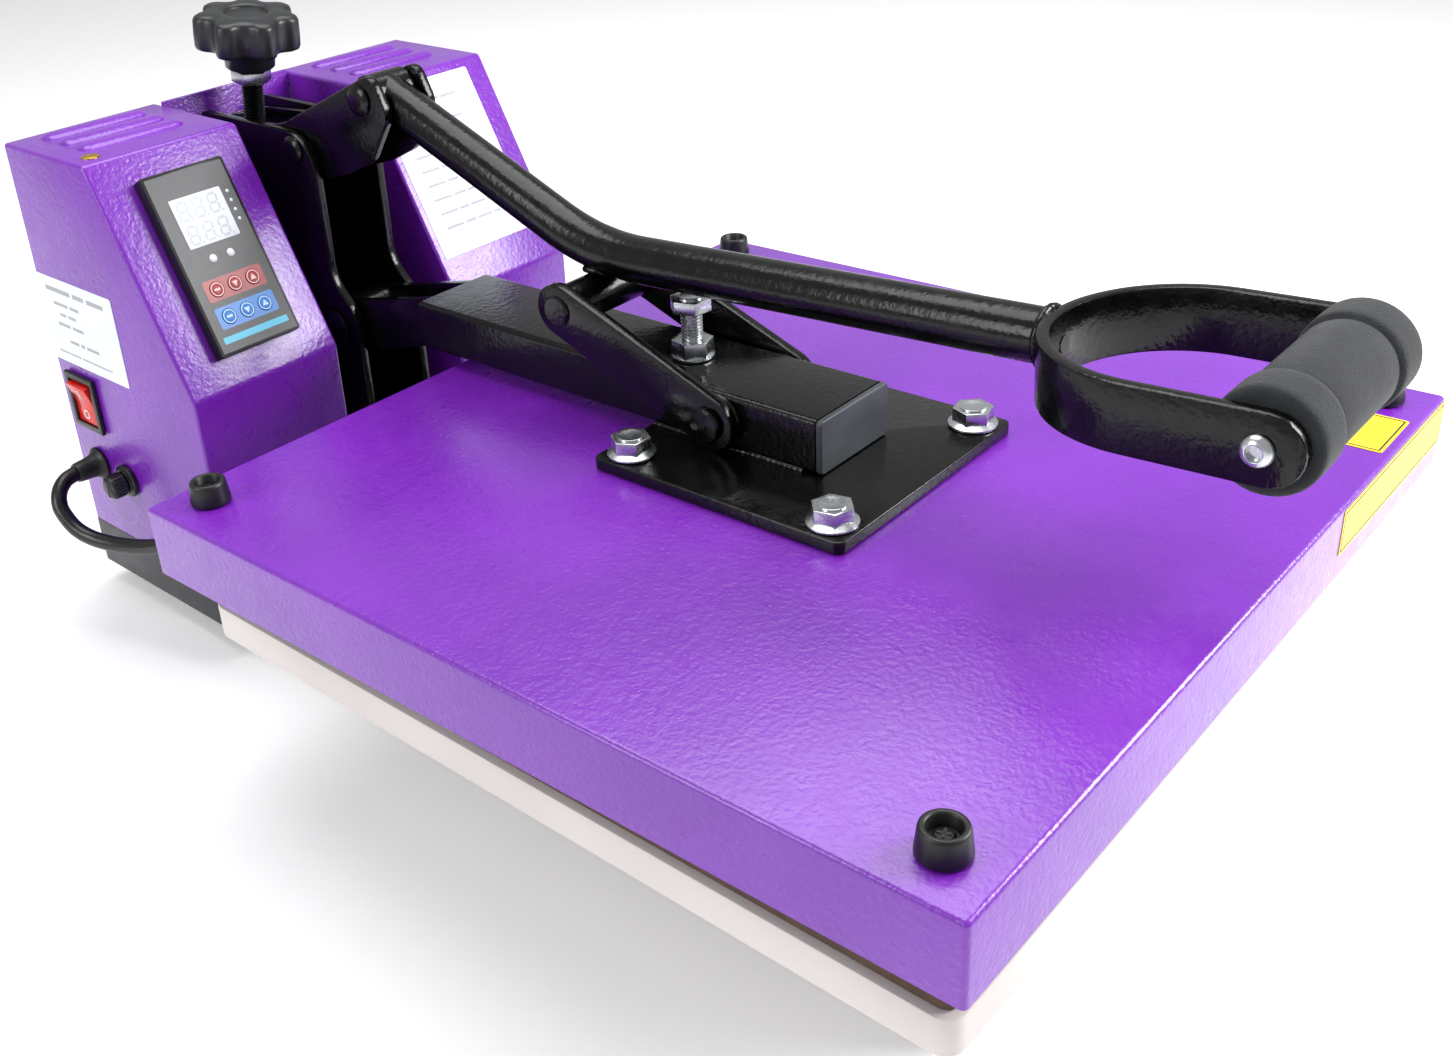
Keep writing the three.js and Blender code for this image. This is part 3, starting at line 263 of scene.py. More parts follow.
# %% Powder coats
def powder_coat(name, low_hex, high_hex, blob, height, gloss, coat, shine=0.5):
    """Oven-melted paint: blobs that many millimetres across, standing height millimetres proud."""
    material, tree, shader, coordinates = new_finish(
        name, IOR=1.5, Coat_Weight=coat, Coat_Roughness=0.2)
    fine = grain(tree, coordinates, blob, detail=1.0)
    swell = grain(tree, coordinates, blob * 1.9, detail=0.0)
    peel = add_node(tree, "ShaderNodeMath", {"operation": "ADD"}, _0=fine, _1=swell)
    half = add_node(tree, "ShaderNodeMath", {"operation": "MULTIPLY"}, _0=peel.outputs[0], _1=0.5)
    bumped(tree, shader, half.outputs[0], height)
    drift = grain(tree, coordinates, 60, detail=1.0)
    tinted(tree, shader, between(tree, drift, 0.0, 1.0), low_hex, high_hex)
    shader.inputs["Specular IOR Level"].default_value = shine
    uneven = grain(tree, coordinates, 9, detail=3.0)
    tree.links.new(between(tree, uneven, gloss - 0.05, gloss + 0.06), shader.inputs["Roughness"])
    return material


PURPLE = powder_coat("purple_powder_coat", "#6a1aa2", "#7520ae", 1.5, 0.42, 0.3, 0.45)
BLACK = powder_coat("black_powder_coat", "#020303", "#040505", 1.6, 0.2, 0.2, 0.0, shine=0.33)
TRAY_GREY = powder_coat("grey_tray_paint", "#2b2b2f", "#333338", 1.2, 0.05, 0.45, 0.0)
PALE = powder_coat("pale_pan_paint", "#cdc5c2", "#d6cfcc", 1.6, 0.04, 0.42, 0.1)

# %% [markdown]
# ### Bare metal
# Bolts and nuts are steel with a thin bright coat of zinc, which is slightly cloudy and shows faint
# marks of the header and the tumbler. The hinge shaft, the pressure screw and the screws in the corner
# buffers are blackened, and the heating platen is milled aluminium.

# %% Metals
def metal(name, low_hex, high_hex, gloss, scratch_mm):
    """Metal with cloudy patches and fine handling marks."""
    material, tree, shader, coordinates = new_finish(name, Metallic=1.0)
    cloud = grain(tree, coordinates, 2.2, detail=4.0)
    tinted(tree, shader, between(tree, cloud, 0.0, 1.0), low_hex, high_hex)
    tree.links.new(between(tree, cloud, gloss - 0.03, gloss + 0.04), shader.inputs["Roughness"])
    stretched = add_node(tree, "ShaderNodeMapping", Vector=coordinates, Scale=(1.0, 1.0, 6.0))
    bumped(tree, shader, grain(tree, stretched.outputs[0], scratch_mm, detail=2.0), 0.002, 0.5)
    return material


ZINC = metal("zinc_plated_steel", "#bfc2c5", "#cdd0d3", 0.26, 0.5)
BLACK_OXIDE = metal("black_oxide_steel", "#252629", "#303236", 0.3, 0.5)
ALUMINIUM = metal("milled_aluminium", "#aeb1b4", "#c2c5c8", 0.36, 0.8)
BRASS = metal("yellow_passivated_screw", "#b8923a", "#d8b45a", 0.3, 0.4)

# %% [markdown]
# ### Plastics, rubber and foam
# The knob, the switch and the controller's case are moulded with a fine spark-eroded grain. The
# corner buffers, feet and glands are rubber, nearly matt. The grip is closed-cell foam, whose skin
# has tiny pores and a soft sheen at grazing angles. The pad is silicone sponge.

# %% Plastics, rubber and foam
def moulded(name, low_hex, high_hex, gloss, pore_mm, height, sheen=0.0):
    """Moulded plastic, rubber or foam with pores that many millimetres across."""
    material, tree, shader, coordinates = new_finish(
        name, IOR=1.49, Sheen_Weight=sheen, Sheen_Roughness=0.4)
    pores = grain(tree, coordinates, pore_mm, detail=3.0)
    bumped(tree, shader, pores, height)
    drift = grain(tree, coordinates, 14, detail=2.0)
    tinted(tree, shader, between(tree, drift, 0.0, 1.0), low_hex, high_hex)
    tree.links.new(between(tree, pores, gloss - 0.05, gloss + 0.05), shader.inputs["Roughness"])
    return material


KNOB_BLACK = moulded("moulded_black_nylon", "#141719", "#1b1e21", 0.36, 0.7, 0.02)
CASE_BLACK = moulded("controller_case_abs", "#0b0c0d", "#111214", 0.32, 0.6, 0.012)
FACE_GREY = moulded("controller_face_film", "#26272b", "#2c2d32", 0.38, 0.5, 0.006)
CAP_GREY = moulded("end_cap_polythene", "#34373c", "#3c4046", 0.5, 0.9, 0.03)
RUBBER = moulded("black_rubber", "#08090a", "#0d0e0f", 0.42, 0.9, 0.03)
CABLE_BLACK = moulded("silicone_cable_sleeve", "#070808", "#0c0d0d", 0.3, 1.2, 0.03)
FOAM = moulded("nitrile_foam", "#1d1f22", "#282b2f", 0.9, 0.8, 0.4, sheen=0.12)
SPONGE = moulded("brown_silicone_sponge", "#4b3a30", "#5d493d", 0.9, 1.3, 0.25)
WOOL = moulded("ceramic_wool", "#d8d2c4", "#e6e1d4", 0.98, 1.6, 0.5)
RED_LENS = moulded("red_rocker_polycarbonate", "#c4120f", "#d81c16", 0.16, 1.5, 0.004)
RED_FILM = moulded("red_key_film", "#8e2a2c", "#983032", 0.36, 0.5, 0.005)
BLUE_FILM = moulded("blue_key_film", "#2470ba", "#2b7ac6", 0.36, 0.5, 0.005)
CYAN_FILM = moulded("cyan_stripe_film", "#2aa6c6", "#31afcf", 0.36, 0.5, 0.005)
KEY_MARK = moulded("pale_key_print", "#d9a9a9", "#e3b7b6", 0.4, 0.5, 0.003)
BLUE_MARK = moulded("pale_blue_key_print", "#a9c9e8", "#b7d3ee", 0.4, 0.5, 0.003)
WINDOW = moulded("display_window_acrylic", "#d3d8de", "#dbe0e5", 0.42, 2.0, 0.002)
DIGIT = moulded("display_segment_pale", "#a9b0ba", "#b2b9c2", 0.4, 1.0, 0.002)
# The labels' white vinyl is coloured a bluish grey: painted shade, not the vinyl's own white.
WHITE_LABEL_PAINTED_SHADE = moulded("white_vinyl_label_painted_shade", "#dbe4ec", "#e6edf3", 0.42, 0.8, 0.008)
GREY_PRINT = moulded("grey_label_print", "#9ca1a8", "#a8adb3", 0.5, 0.8, 0.004)
YELLOW_LABEL = moulded("yellow_vinyl_label", "#e6c62c", "#efd03a", 0.42, 0.8, 0.008)
BLACK_PRINT = moulded("black_label_print", "#1b1b1b", "#222222", 0.5, 0.8, 0.004)
SWITCH_MARK = moulded("white_switch_print", "#e9e4e2", "#f3efed", 0.4, 0.8, 0.004)
print(len(bpy.data.materials), "materials")

# %% [markdown]
# ## Shape helpers
# Every shape starts from a bmesh operator and is drawn in millimetres in its own frame. `finish_piece`
# moves it to its place, marks the sharp edges, gives it a material and lets it ride on a body.

# %% Finishing a piece
PIECES = []


def finish_piece(shape, name, place, material, body, nodes=(), sharp=32, extra=()):
    """Puts a shape in place as an object that rides on a body and stands for those CAD nodes."""
    shape.transform(place)
    for face in shape.faces:
        face.smooth = True
    for edge in shape.edges:
        edge.smooth = len(edge.link_faces) == 2 and edge.calc_face_angle(0) < math.radians(sharp)
    mesh = bpy.data.meshes.new(name)
    shape.to_mesh(mesh)
    shape.free()
    for finish in (material, *extra):
        mesh.materials.append(finish)
    made = bpy.data.objects.new(name, mesh)
    scene.collection.objects.link(made)
    if nodes:
        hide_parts(*nodes)
    if body:
        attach(made, body)
    PIECES.append(name)
    return made


def merged(*parts):
    """Several parts as one shape. A part is a shape, or (shape, matrix) where it has to be moved."""
    whole = bmesh.new()
    for part in parts:
        shape, matrix = part if isinstance(part, tuple) else (part, HERE)
        shape.transform(matrix)
        carrier = bpy.data.meshes.new("carrier")
        shape.to_mesh(carrier)
        whole.from_mesh(carrier)
        shape.free()
        bpy.data.meshes.remove(carrier)
    return whole


def second_material(*shapes):
    """Gives every face of those shapes the piece's second material."""
    for shape in shapes:
        for face in shape.faces:
            face.material_index = 1


HERE = Matrix.Identity(4)

# %% [markdown]
# ### Slabs, plates and eased edges
# Folded or sawn metal never has a razor edge. A small bevel catches the light along each edge, which
# is most of what makes steel look like steel.

# %% Slabs and plates
def rounded(shape, geom, radius, segments, affect="EDGES"):
    """Rounds those edges, or those corners of a flat outline."""
    bmesh.ops.bevel(shape, geom=geom, offset=radius, offset_type="OFFSET", segments=segments, profile=0.5,
                    affect=affect, clamp_overlap=True, material=-1)


def ease(shape, width, segments=2, corner=30):
    """Rounds every edge where two faces meet at more than corner degrees."""
    edges = [e for e in shape.edges if len(e.link_faces) == 2 and e.calc_face_angle(0) > math.radians(corner)]
    rounded(shape, edges, width, segments)
    return shape


def slab(low, high, width=0.6, segments=2, upright=0.0):
    """A block between two corners. upright rounds the four vertical edges first."""
    shape = bmesh.new()
    bmesh.ops.create_cube(shape, size=1.0)
    middle = [(a + b) / 2 for a, b in zip(low, high)]
    size = [b - a for a, b in zip(low, high)]
    shape.transform(Matrix.Translation(middle) @ Matrix.Diagonal((*size, 1.0)))
    if upright:
        edges = [e for e in shape.edges if abs(e.verts[0].co.z - e.verts[1].co.z) > size[2] / 2]
        rounded(shape, edges, upright, 6)
    return ease(shape, width, segments) if width else shape


def plate(outline, low, high, width=0.5, rounds=None, segments=8, holes=()):
    """An outline in the x-y plane made a plate from low to high. rounds gives corners their radius,
    and each hole is an (x, y, radius)."""
    shape = bmesh.new()
    corners = [shape.verts.new((u, v, low)) for u, v in outline]
    shape.faces.new(corners)
    for index, radius in (rounds or {}).items():
        rounded(shape, [corners[index]], radius, segments, "VERTICES")
    if holes:
        bmesh.ops.delete(shape, geom=shape.faces[:], context="FACES_ONLY")
        for x, y, radius in holes:
            bmesh.ops.create_circle(shape, cap_ends=False, segments=32, radius=radius,
                                    matrix=moved(x, y, low))
        bmesh.ops.triangle_fill(shape, use_beauty=True, use_dissolve=False, edges=shape.edges[:],
                                normal=(0, 0, 1))
    grown = bmesh.ops.extrude_face_region(shape, geom=shape.faces[:])
    top = [v for v in grown["geom"] if isinstance(v, bmesh.types.BMVert)]
    bmesh.ops.translate(shape, verts=top, vec=(0, 0, high - low))
    bmesh.ops.recalc_face_normals(shape, faces=shape.faces[:])
    return ease(shape, width, 2, 50) if width else shape


def shell(shape, open_faces, wall):
    """Takes faces off a solid and gives what is left a wall, inwards."""
    bmesh.ops.delete(shape, geom=open_faces, context="FACES")
    bmesh.ops.recalc_face_normals(shape, faces=shape.faces[:])
    bmesh.ops.solidify(shape, geom=shape.faces[:], thickness=wall)
    return shape


# %% [markdown]
# ### Turned pieces and tubes
# A turned piece is a profile spun about its axis. A tube is a ring carried along a path: each ring is
# a circle set square to the path, and bridges join one ring to the next.

# %% Turned pieces and tubes
def turned(profile, steps=64):
    """A closed or axis-to-axis profile of (radius, height), spun about z."""
    shape = bmesh.new()
    points = [shape.verts.new((r, 0, z)) for r, z in profile]
    edges = [shape.edges.new(pair) for pair in zip(points, points[1:])]
    bmesh.ops.spin(shape, geom=points + edges, cent=(0, 0, 0), axis=(0, 0, 1), dvec=(0, 0, 0),
                   angle=2 * math.pi, steps=steps, use_merge=True, use_duplicate=False)
    bmesh.ops.remove_doubles(shape, verts=shape.verts[:], dist=1e-4)
    bmesh.ops.recalc_face_normals(shape, faces=shape.faces[:])
    return shape


def frames_along(path, first_side=(1, 0, 0)):
    """One matrix for each point of the path: z along it, x turning as little as it can."""
    frames = []
    side = Vector(first_side)
    for index, point in enumerate(path):
        ahead = path[min(index + 1, len(path) - 1)] - path[max(index - 1, 0)]
        ahead.normalize()
        side = (side - ahead * side.dot(ahead)).normalized()
        turned_to = Matrix((side, ahead.cross(side), ahead)).transposed().to_4x4()
        frames.append(Matrix.Translation(point) @ turned_to)
    return frames


def tube(path, radius, sides=40, wobble=None, first_side=(1, 0, 0)):
    """A round bar along a path, closed at both ends. wobble gives each ring a factor."""
    shape = bmesh.new()
    path = [Vector(p) for p in path]
    rings = []
    for index, square in enumerate(frames_along(path, first_side)):
        factor = wobble(index) if wobble else 1.0
        ends = index in (0, len(path) - 1)
        made = bmesh.ops.create_circle(shape, cap_ends=ends, segments=sides, radius=radius * factor,
                                       matrix=square)
        ring = {e for v in made["verts"] for e in v.link_edges}
        rings.append([e for e in ring if len(e.verts) == 2])
    for near, far in zip(rings, rings[1:]):
        bmesh.ops.bridge_loops(shape, edges=near + far)
    bmesh.ops.recalc_face_normals(shape, faces=shape.faces[:])
    return shape


def arc(centre, radius, start, stop, steps, plane="yz"):
    """Points on an arc, in degrees from the plane's first axis."""
    points = []
    for step in range(steps + 1):
        angle = math.radians(start + (stop - start) * step / steps)
        u, v = radius * math.cos(angle), radius * math.sin(angle)
        offset = {"yz": (0, u, v), "xy": (u, v, 0), "xz": (u, 0, v)}[plane]
        points.append(Vector(centre) + Vector(offset))
    return points


def weld_bead(path, radius=1.7, sides=10):
    """A fillet of weld with the ripples that each little pool leaves."""
    fine = []
    for a, b in zip(path, path[1:]):
        count = max(1, int((Vector(b) - Vector(a)).length / 0.8))
        fine += [Vector(a).lerp(Vector(b), i / count) for i in range(count)]
    fine.append(Vector(path[-1]))
    ripple = lambda i: 0.9 + 0.1 * abs(math.sin(i * 0.9)) + 0.1 * noise.noise(fine[i] * 0.3)
    return tube(fine, radius, sides, ripple, first_side=(0.3, 0.2, 0.9))


def thread(radius, pitch, low, high, steps=36):
    """A V thread: one pitch of its profile, spun up the bar as a helix."""
    shape = bmesh.new()
    depth = 0.55 * pitch
    profile = [(radius - depth, 0), (radius, 0.42 * pitch), (radius, 0.58 * pitch), (radius - depth, pitch)]
    points = [shape.verts.new((r, 0, z)) for r, z in profile]
    edges = [shape.edges.new(pair) for pair in zip(points, points[1:])]
    turns = int((high - low) / pitch) - 1
    bmesh.ops.spin(shape, geom=points + edges, cent=(0, 0, 0), axis=(0, 0, 1), dvec=(0, 0, pitch / steps),
                   angle=2 * math.pi * turns, steps=steps * turns, use_merge=False, use_duplicate=False)
    bmesh.ops.remove_doubles(shape, verts=shape.verts[:], dist=1e-3)
    bmesh.ops.recalc_face_normals(shape, faces=shape.faces[:])
    core = turned([(0, low), (radius - depth + 0.15, low), (radius - depth + 0.15, high), (0, high)], steps)
    return merged((shape, moved(0, 0, low)), core)


def hexagon(across_flats, low, high, chamfer=1.0):
    """A bolt head or nut with its corners turned off at the top."""
    shape = bmesh.new()
    bmesh.ops.create_cone(shape, cap_ends=True, segments=6, radius1=across_flats / math.sqrt(3),
                          radius2=across_flats / math.sqrt(3), depth=high - low)
    shape.transform(moved(0, 0, (low + high) / 2))
    cutter_r = across_flats / 2 - 0.1
    for face in [f for f in shape.faces if f.normal.z > 0.9]:
        bmesh.ops.inset_region(shape, faces=[face], thickness=chamfer, depth=0.0, use_even_offset=True)
        rim = [v for v in shape.verts if v.co.z > high - 0.01 and v.co.xy.length > cutter_r]
        bmesh.ops.translate(shape, verts=rim, vec=(0, 0, -chamfer * 0.55))
    return ease(shape, 0.25, 2, 25)


def refined(node, name, material, body, width=0.5, corner=30):
    """A merged copy of a CAD node with its edges eased, for pieces whose solid shape is right."""
    shape = bmesh.new()
    shape.from_mesh(NODES[node].data)
    bmesh.ops.remove_doubles(shape, verts=shape.verts[:], dist=2e-6)
    bmesh.ops.dissolve_limit(shape, angle_limit=math.radians(0.6), verts=shape.verts[:],
                             edges=shape.edges[:])
    ease(shape, width * MM, 2, corner)
    return finish_piece(shape, name, HERE, material, body, (node,), sharp=40)

# %% [markdown]
# ## Heater cable
# One round lead, sleeved in silicone rubber, carries the heating current. It leaves the left box
# through a bell gland, droops, and goes into the back of the moving platen, so it has to flex a
# little each time the press opens. Here the piece is drawn as it hangs and rides on no body.

# %% Heater cable
CABLE_DIAMETER = 8.5
LEAD_X, LEAD_Z = -BOX_OUT - 6.5, -19.0
CABLE_POINTS = [
    (-148.8, 388.0, 84), (-155.3, 387.3, 83), (-160.8, 385.0, 80.1), (-164.5, 381.5, 75.8),
    (-165.8, 377.4, 70.7), (-164.6, 368.2, 62.8), (-160.5, 355.5, 58.5), (-154, 335.6, 58.6),
    (-148.5, 313.0, 64), (-144, 289.3, 74.5), (-141, 267.4, 89), (-139.6, 249.6, 105),
    (-139.1, 235.7, 119), (-139, 226.9, 128.2), (-139, 218.0, 130.7),
]


def smooth_path(points, steps=6):
    """A Catmull-Rom curve through the points."""
    points = [Vector(p) for p in points]
    ends = [points[0] * 2 - points[1]] + points + [points[-1] * 2 - points[-2]]
    curve = []
    for a, b, c, d in zip(ends, ends[1:], ends[2:], ends[3:]):
        for step in range(steps):
            t = step / steps
            curve.append(0.5 * (2 * b + (c - a) * t + (2 * a - 5 * b + 4 * c - d) * t ** 2
                                + (3 * b - a - 3 * c + d) * t ** 3))
    return curve + [points[-1]]


cable_path = smooth_path(CABLE_POINTS)
cable_shape = tube(cable_path, CABLE_DIAMETER / 2, 24, first_side=(0, 0, 1))
cable = finish_piece(cable_shape, "heater_cable_sleeve", PRESS, CABLE_BLACK, None, ("heater_cable",))
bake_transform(cable)

# %% [markdown]
# ## Upper platen
# The cover is one square of steel folded down on all four sides, about 410 mm across, with small
# radii at the folds. It is made as a block whose edges are rounded, then opened underneath and given
# a wall. Under it are the wool blanket and the aluminium platen with the heater cast in.

# %% Cover, blanket and platen
COVER_HALF, COVER_HEIGHT = 205.0, 33.0
cover_block = slab((-COVER_HALF, -COVER_HALF, -COVER_HEIGHT), (COVER_HALF, COVER_HALF, 0), 0)
under = [f for f in cover_block.faces if f.normal.z < -0.9]
bmesh.ops.delete(cover_block, geom=under, context="FACES")
folds = [e for e in cover_block.edges if len(e.link_faces) == 2]
rounded(cover_block, folds, 2.2, 4)
bmesh.ops.solidify(cover_block, geom=cover_block.faces[:], thickness=1.5)
finish_piece(cover_block, "platen_cover_sheet", UPPER, PURPLE, "upper_platen", ("platen_cover",),
             sharp=50)

refined("heating_platen", "heating_platen_casting", ALUMINIUM, "upper_platen", 0.6)
NODES["insulation_blanket"].data.materials.clear()
NODES["insulation_blanket"].data.materials.append(WOOL)

# %% [markdown]
# ### Corner buffers
# Four rubber buffers stand on the cover's corners. Each is a slightly tapered cup, and the screw that
# holds it sits at the bottom of the cup.

# %% Corner buffers
BUFFER_INSET = 20.5
BUFFER_PROFILE = [
    (0, 0.3), (8.2, 0.3), (8.8, 0.9), (8.9, 1.6), (8.0, 9.4), (7.7, 10.4), (7.0, 10.8), (6.0, 10.7),
    (5.5, 10.1), (5.1, 6.2), (4.9, 5.9), (0, 5.9),
]


def pan_head_screw(radius, height):
    """A domed screw head with a cross recess drawn as two darker bars: painted shade."""
    profile = [(0, 0), (radius, 0), (radius, height * 0.4), (radius * 0.8, height * 0.85), (0, height)]
    head = turned(profile, 32)
    # The recess bars stand just proud of the head and take the piece's second, darker material: painted shade
    # where a real recess would be dark.
    bars = [(slab((-radius * 0.6, -0.45, height * 0.5), (radius * 0.6, 0.45, height + 0.05), 0), turn(a, "Z"))
            for a in (20, 110)]
    second_material(*(bar for bar, _ in bars))
    return merged(head, *bars)


for depth_name, sy in (("front", -1), ("rear", 1)):
    for side_name, sx in (("left", -1), ("right", 1)):
        corner = f"{depth_name}_{side_name}"
        x, y = sx * (COVER_HALF - BUFFER_INSET), sy * (COVER_HALF - BUFFER_INSET)
        spot = UPPER @ moved(x, y, 0)
        finish_piece(turned(BUFFER_PROFILE), f"buffer_{corner}", spot, RUBBER, "upper_platen",
                     (f"cover_cap_{corner}",), sharp=55)
        # The second material, the near-black rubber colour, paints the screw's cross recess as shade.
        finish_piece(pan_head_screw(3.6, 2.0), f"buffer_screw_{corner}", spot @ moved(0, 0, 5.9),
                     BLACK_OXIDE, "upper_platen", (), extra=(RUBBER,))

# %% [markdown]
# ## Mounting plate and its bolts
# A square plate spreads the arm's push over the platen. Four flange bolts hold it. A flange bolt has
# a washer forged onto its head: the skirt slopes, the hexagon has its corners turned off, and the
# top is slightly dished.

# %% Mounting plate
PLATE_HALF, PLATE_TOP, BOLT_HALF = 66.0, 5.9, 53.5
BOLT_FLATS = 16.0
finish_piece(slab((-PLATE_HALF, -PLATE_HALF, 0.3), (PLATE_HALF, PLATE_HALF, PLATE_TOP), 0.7, 3, upright=4.0),
             "mounting_plate_steel", UPPER, BLACK, "upper_platen", ("mounting_plate",))


def flange_bolt():
    """The head of a zinc-plated flange bolt, and the end of its shank below."""
    skirt = turned([(0, 0), (10.8, 0), (11.0, 0.5), (10.9, 1.1), (8.4, 2.6), (0, 2.6)], 64)
    head = hexagon(BOLT_FLATS, 1.2, 8.8, 1.1)
    dish = turned([(0, 8.35), (3.2, 8.4), (5.2, 8.86), (5.6, 8.9), (5.9, 8.8), (5.9, 8.2), (0, 8.2)], 48)
    shank = turned([(0, -38), (4.9, -38), (4.9, 0.2), (0, 0.2)], 24)
    return merged(skirt, head, dish, shank)


BOLT_TURNS = {"front_left": 12, "front_right": 41, "rear_left": 27, "rear_right": 3}
for corner, degrees in BOLT_TURNS.items():
    sy = -1 if corner.startswith("front") else 1
    sx = -1 if corner.endswith("left") else 1
    spot = UPPER @ moved(sx * BOLT_HALF, sy * BOLT_HALF, PLATE_TOP + CLEARANCE) @ turn(degrees, "Z")
    finish_piece(flange_bolt(), f"flange_bolt_{corner}_head", spot, ZINC, "upper_platen",
                 (f"flange_bolt_{corner}",), sharp=28)

# %% [markdown]
# ## Press arm
# The arm is a 50 by 25 mm rectangular tube welded to the mounting plate. Two lugs carry it back and
# down to the hinge sleeve. A plastic plug closes the front end of the tube, and the links' pivots
# stand out from its sides on short bosses.

# %% Arm tube, lugs and sleeve
ARM_HALF, ARM_LOW, ARM_HIGH = 25.0, 6.2, 31.2
ARM_FRONT, ARM_REAR = -24.6, 224.0
LINK_LOW = (27.1, 18.6)
LINK_IN = 26.8

arm_tube = slab((-ARM_HALF, ARM_FRONT, ARM_LOW), (ARM_HALF, ARM_REAR, ARM_HIGH), 0)
long_edges = [e for e in arm_tube.edges if abs(e.verts[0].co.y - e.verts[1].co.y) > 100]
rounded(arm_tube, long_edges, 2.6, 5)
shell(arm_tube, [f for f in arm_tube.faces if abs(f.normal.y) > 0.9], 2.5)

LUG_OUTLINE = [(188, 7.4), (214, 7.4), (286, -14), (314, -14), (314, 14), (297, 14), (226, 30), (188, 30)]
LUG_ROUNDS = {3: 13.0, 4: 13.0, 5: 6.0, 1: 6.0}
sleeve = turned([(8.3, -17.4), (13.3, -17.4), (14, -16.7), (14, 16.7), (13.3, 17.4), (8.3, 17.4),
                 (8.3, -17.4)])
boss = lambda: turned([(0, -1), (12, -1), (12, 0.4), (11.4, 1.2), (0, 1.2)])
across = turn(90, "Y")
arm_parts = [arm_tube, (sleeve, moved(0, HINGE_Y, 0) @ across)]
for x in (-16.0, 11.0):
    arm_parts.append((plate(LUG_OUTLINE, x, x + 5.0, 0.7, LUG_ROUNDS), SIDEWAYS))
for side in (-1, 1):
    spot = moved(side * ARM_HALF, *LINK_LOW) @ turn(90 * side, "Y")
    arm_parts.append((boss(), spot))
    seam = [(side * (ARM_HALF + 0.2), y, ARM_LOW) for y in (ARM_FRONT + 6, 20, 64)]
    arm_parts.append((weld_bead(seam, 1.5), HERE))
finish_piece(merged(*arm_parts), "press_arm_weldment", UPPER, BLACK, "upper_platen", ("press_arm",),
             sharp=38)

plug = slab((-ARM_HALF, ARM_FRONT - 3.3, ARM_LOW), (ARM_HALF, ARM_FRONT - 0.3, ARM_HIGH), 0)
plug_corners = [e for e in plug.edges if abs(e.verts[0].co.y - e.verts[1].co.y) > 1]
rounded(plug, plug_corners, 2.4, 5)
ease(plug, 0.8, 3)
spigot = slab((-22, ARM_FRONT - 1, 9.2), (22, ARM_FRONT + 10, 28.2), 0.8)
finish_piece(merged(plug, spigot), "arm_plug", UPPER, CAP_GREY, "upper_platen",
             ("arm_end_cap",))

# %% [markdown]
# ### Stop bolt
# A bolt stands up from the arm and meets the underside of the handle, so the toggle stops just past
# its straight line. A nut locks it. Its thread is real: a V profile spun up as a helix.

# %% Stop bolt and lock nut
STOP_Y = 61.0
STOP_FLATS = 17.0
STOP = UPPER @ moved(0, STOP_Y, ARM_HIGH + CLEARANCE)
stop_parts = [
    (thread(5.0, 1.5, -4, 24), HERE),
    (hexagon(STOP_FLATS, 22.6, 29.2, 1.2), turn(20, "Z")),
    (turned([(0, 29.0), (4.6, 29.0), (5.2, 29.3), (5.6, 29.1), (5.6, 28.6), (0, 28.6)], 40), HERE),
]
finish_piece(merged(*stop_parts), "stop_bolt_threaded", STOP, ZINC, "upper_platen", ("stop_bolt",),
             sharp=28)
nut_flange = turned([(5.3, 0), (9.8, 0), (10, 0.5), (9.9, 1.2), (7.8, 2.2), (5.3, 2.2), (5.3, 0)])
nut = merged(nut_flange, (hexagon(STOP_FLATS, 1.2, 9.2, 1.2), turn(47, "Z")))
finish_piece(nut, "stop_lock_nut", STOP, ZINC, "upper_platen", ("stop_nut",), sharp=28)

# %% [markdown]
# ## Links
# Two flat bars with round ends tie the arm to the handle's cross tube. Pushed down, they fold almost
# into one line with the handle's short lever, which is what multiplies the pull.

# %% Links and their bolts
HINGE_TILT = turn(-UPPER_TILT, "X")
link_low = Vector((0, HINGE_Y, HINGE_Z)) + HINGE_TILT @ Vector((0, LINK_LOW[0] - HINGE_Y, LINK_LOW[1]))
link_top = Vector((0, 115.8, 204.8))
link_span = (link_top - link_low).length
link_angle = math.atan2(link_top.z - link_low.z, link_top.y - link_low.y)
LINK_HALF = 12.5
LINK_END = 12.45


def link_bar():
    """A bar drawn along x with round ends about its two pivots."""
    outline = [(-LINK_HALF, -LINK_HALF), (link_span + LINK_HALF, -LINK_HALF),
               (link_span + LINK_HALF, LINK_HALF), (-LINK_HALF, LINK_HALF)]
    return plate(outline, 0, 5.0, 0.6, {i: LINK_END for i in range(4)}, 14)


ALONG_LINK = Matrix.Translation(link_low) @ Matrix.Rotation(link_angle, 4, "X") @ SIDEWAYS
pin_head = lambda: turned([(0, 0), (7.6, 0), (8, 0.5), (8, 2.6), (7.2, 3.7), (4.5, 4.2), (0, 4.4)], 48)
for name, x, side in (("left", -LINK_IN - 5.0, -1), ("right", LINK_IN, 1)):
    finish_piece(link_bar(), f"link_bar_{name}", PRESS @ moved(x, 0, 0) @ ALONG_LINK, BLACK,
                 "links", (f"link_{name}",))
    head_at = moved(side * (LINK_IN + 5.2), *LINK_LOW) @ turn(90 * side, "Y")
    finish_piece(pin_head(), f"link_bolt_{name}_head", UPPER @ head_at, BLACK, "upper_platen",
                 (f"link_bolt_{name}",))
    upper_at = moved(side * (LINK_IN + 5.2), link_top.y, link_top.z) @ turn(90 * side, "Y")
    finish_piece(turned([(0, -5), (7.5, -5), (7.5, 0.2), (6.6, 1.2), (0, 1.5)], 40), f"link_pivot_{name}",
                 PRESS @ upper_at, BLACK, "links", ())

# %% [markdown]
# ## Handle
# The handle is one steel tube, 22 mm across, bent by about 25 degrees near its middle. A short cross
# tube at the back turns on the bracket's pin, and a longer one under the bend takes the two links.
# Both are welded on, and the ripples of the welds show through the paint.

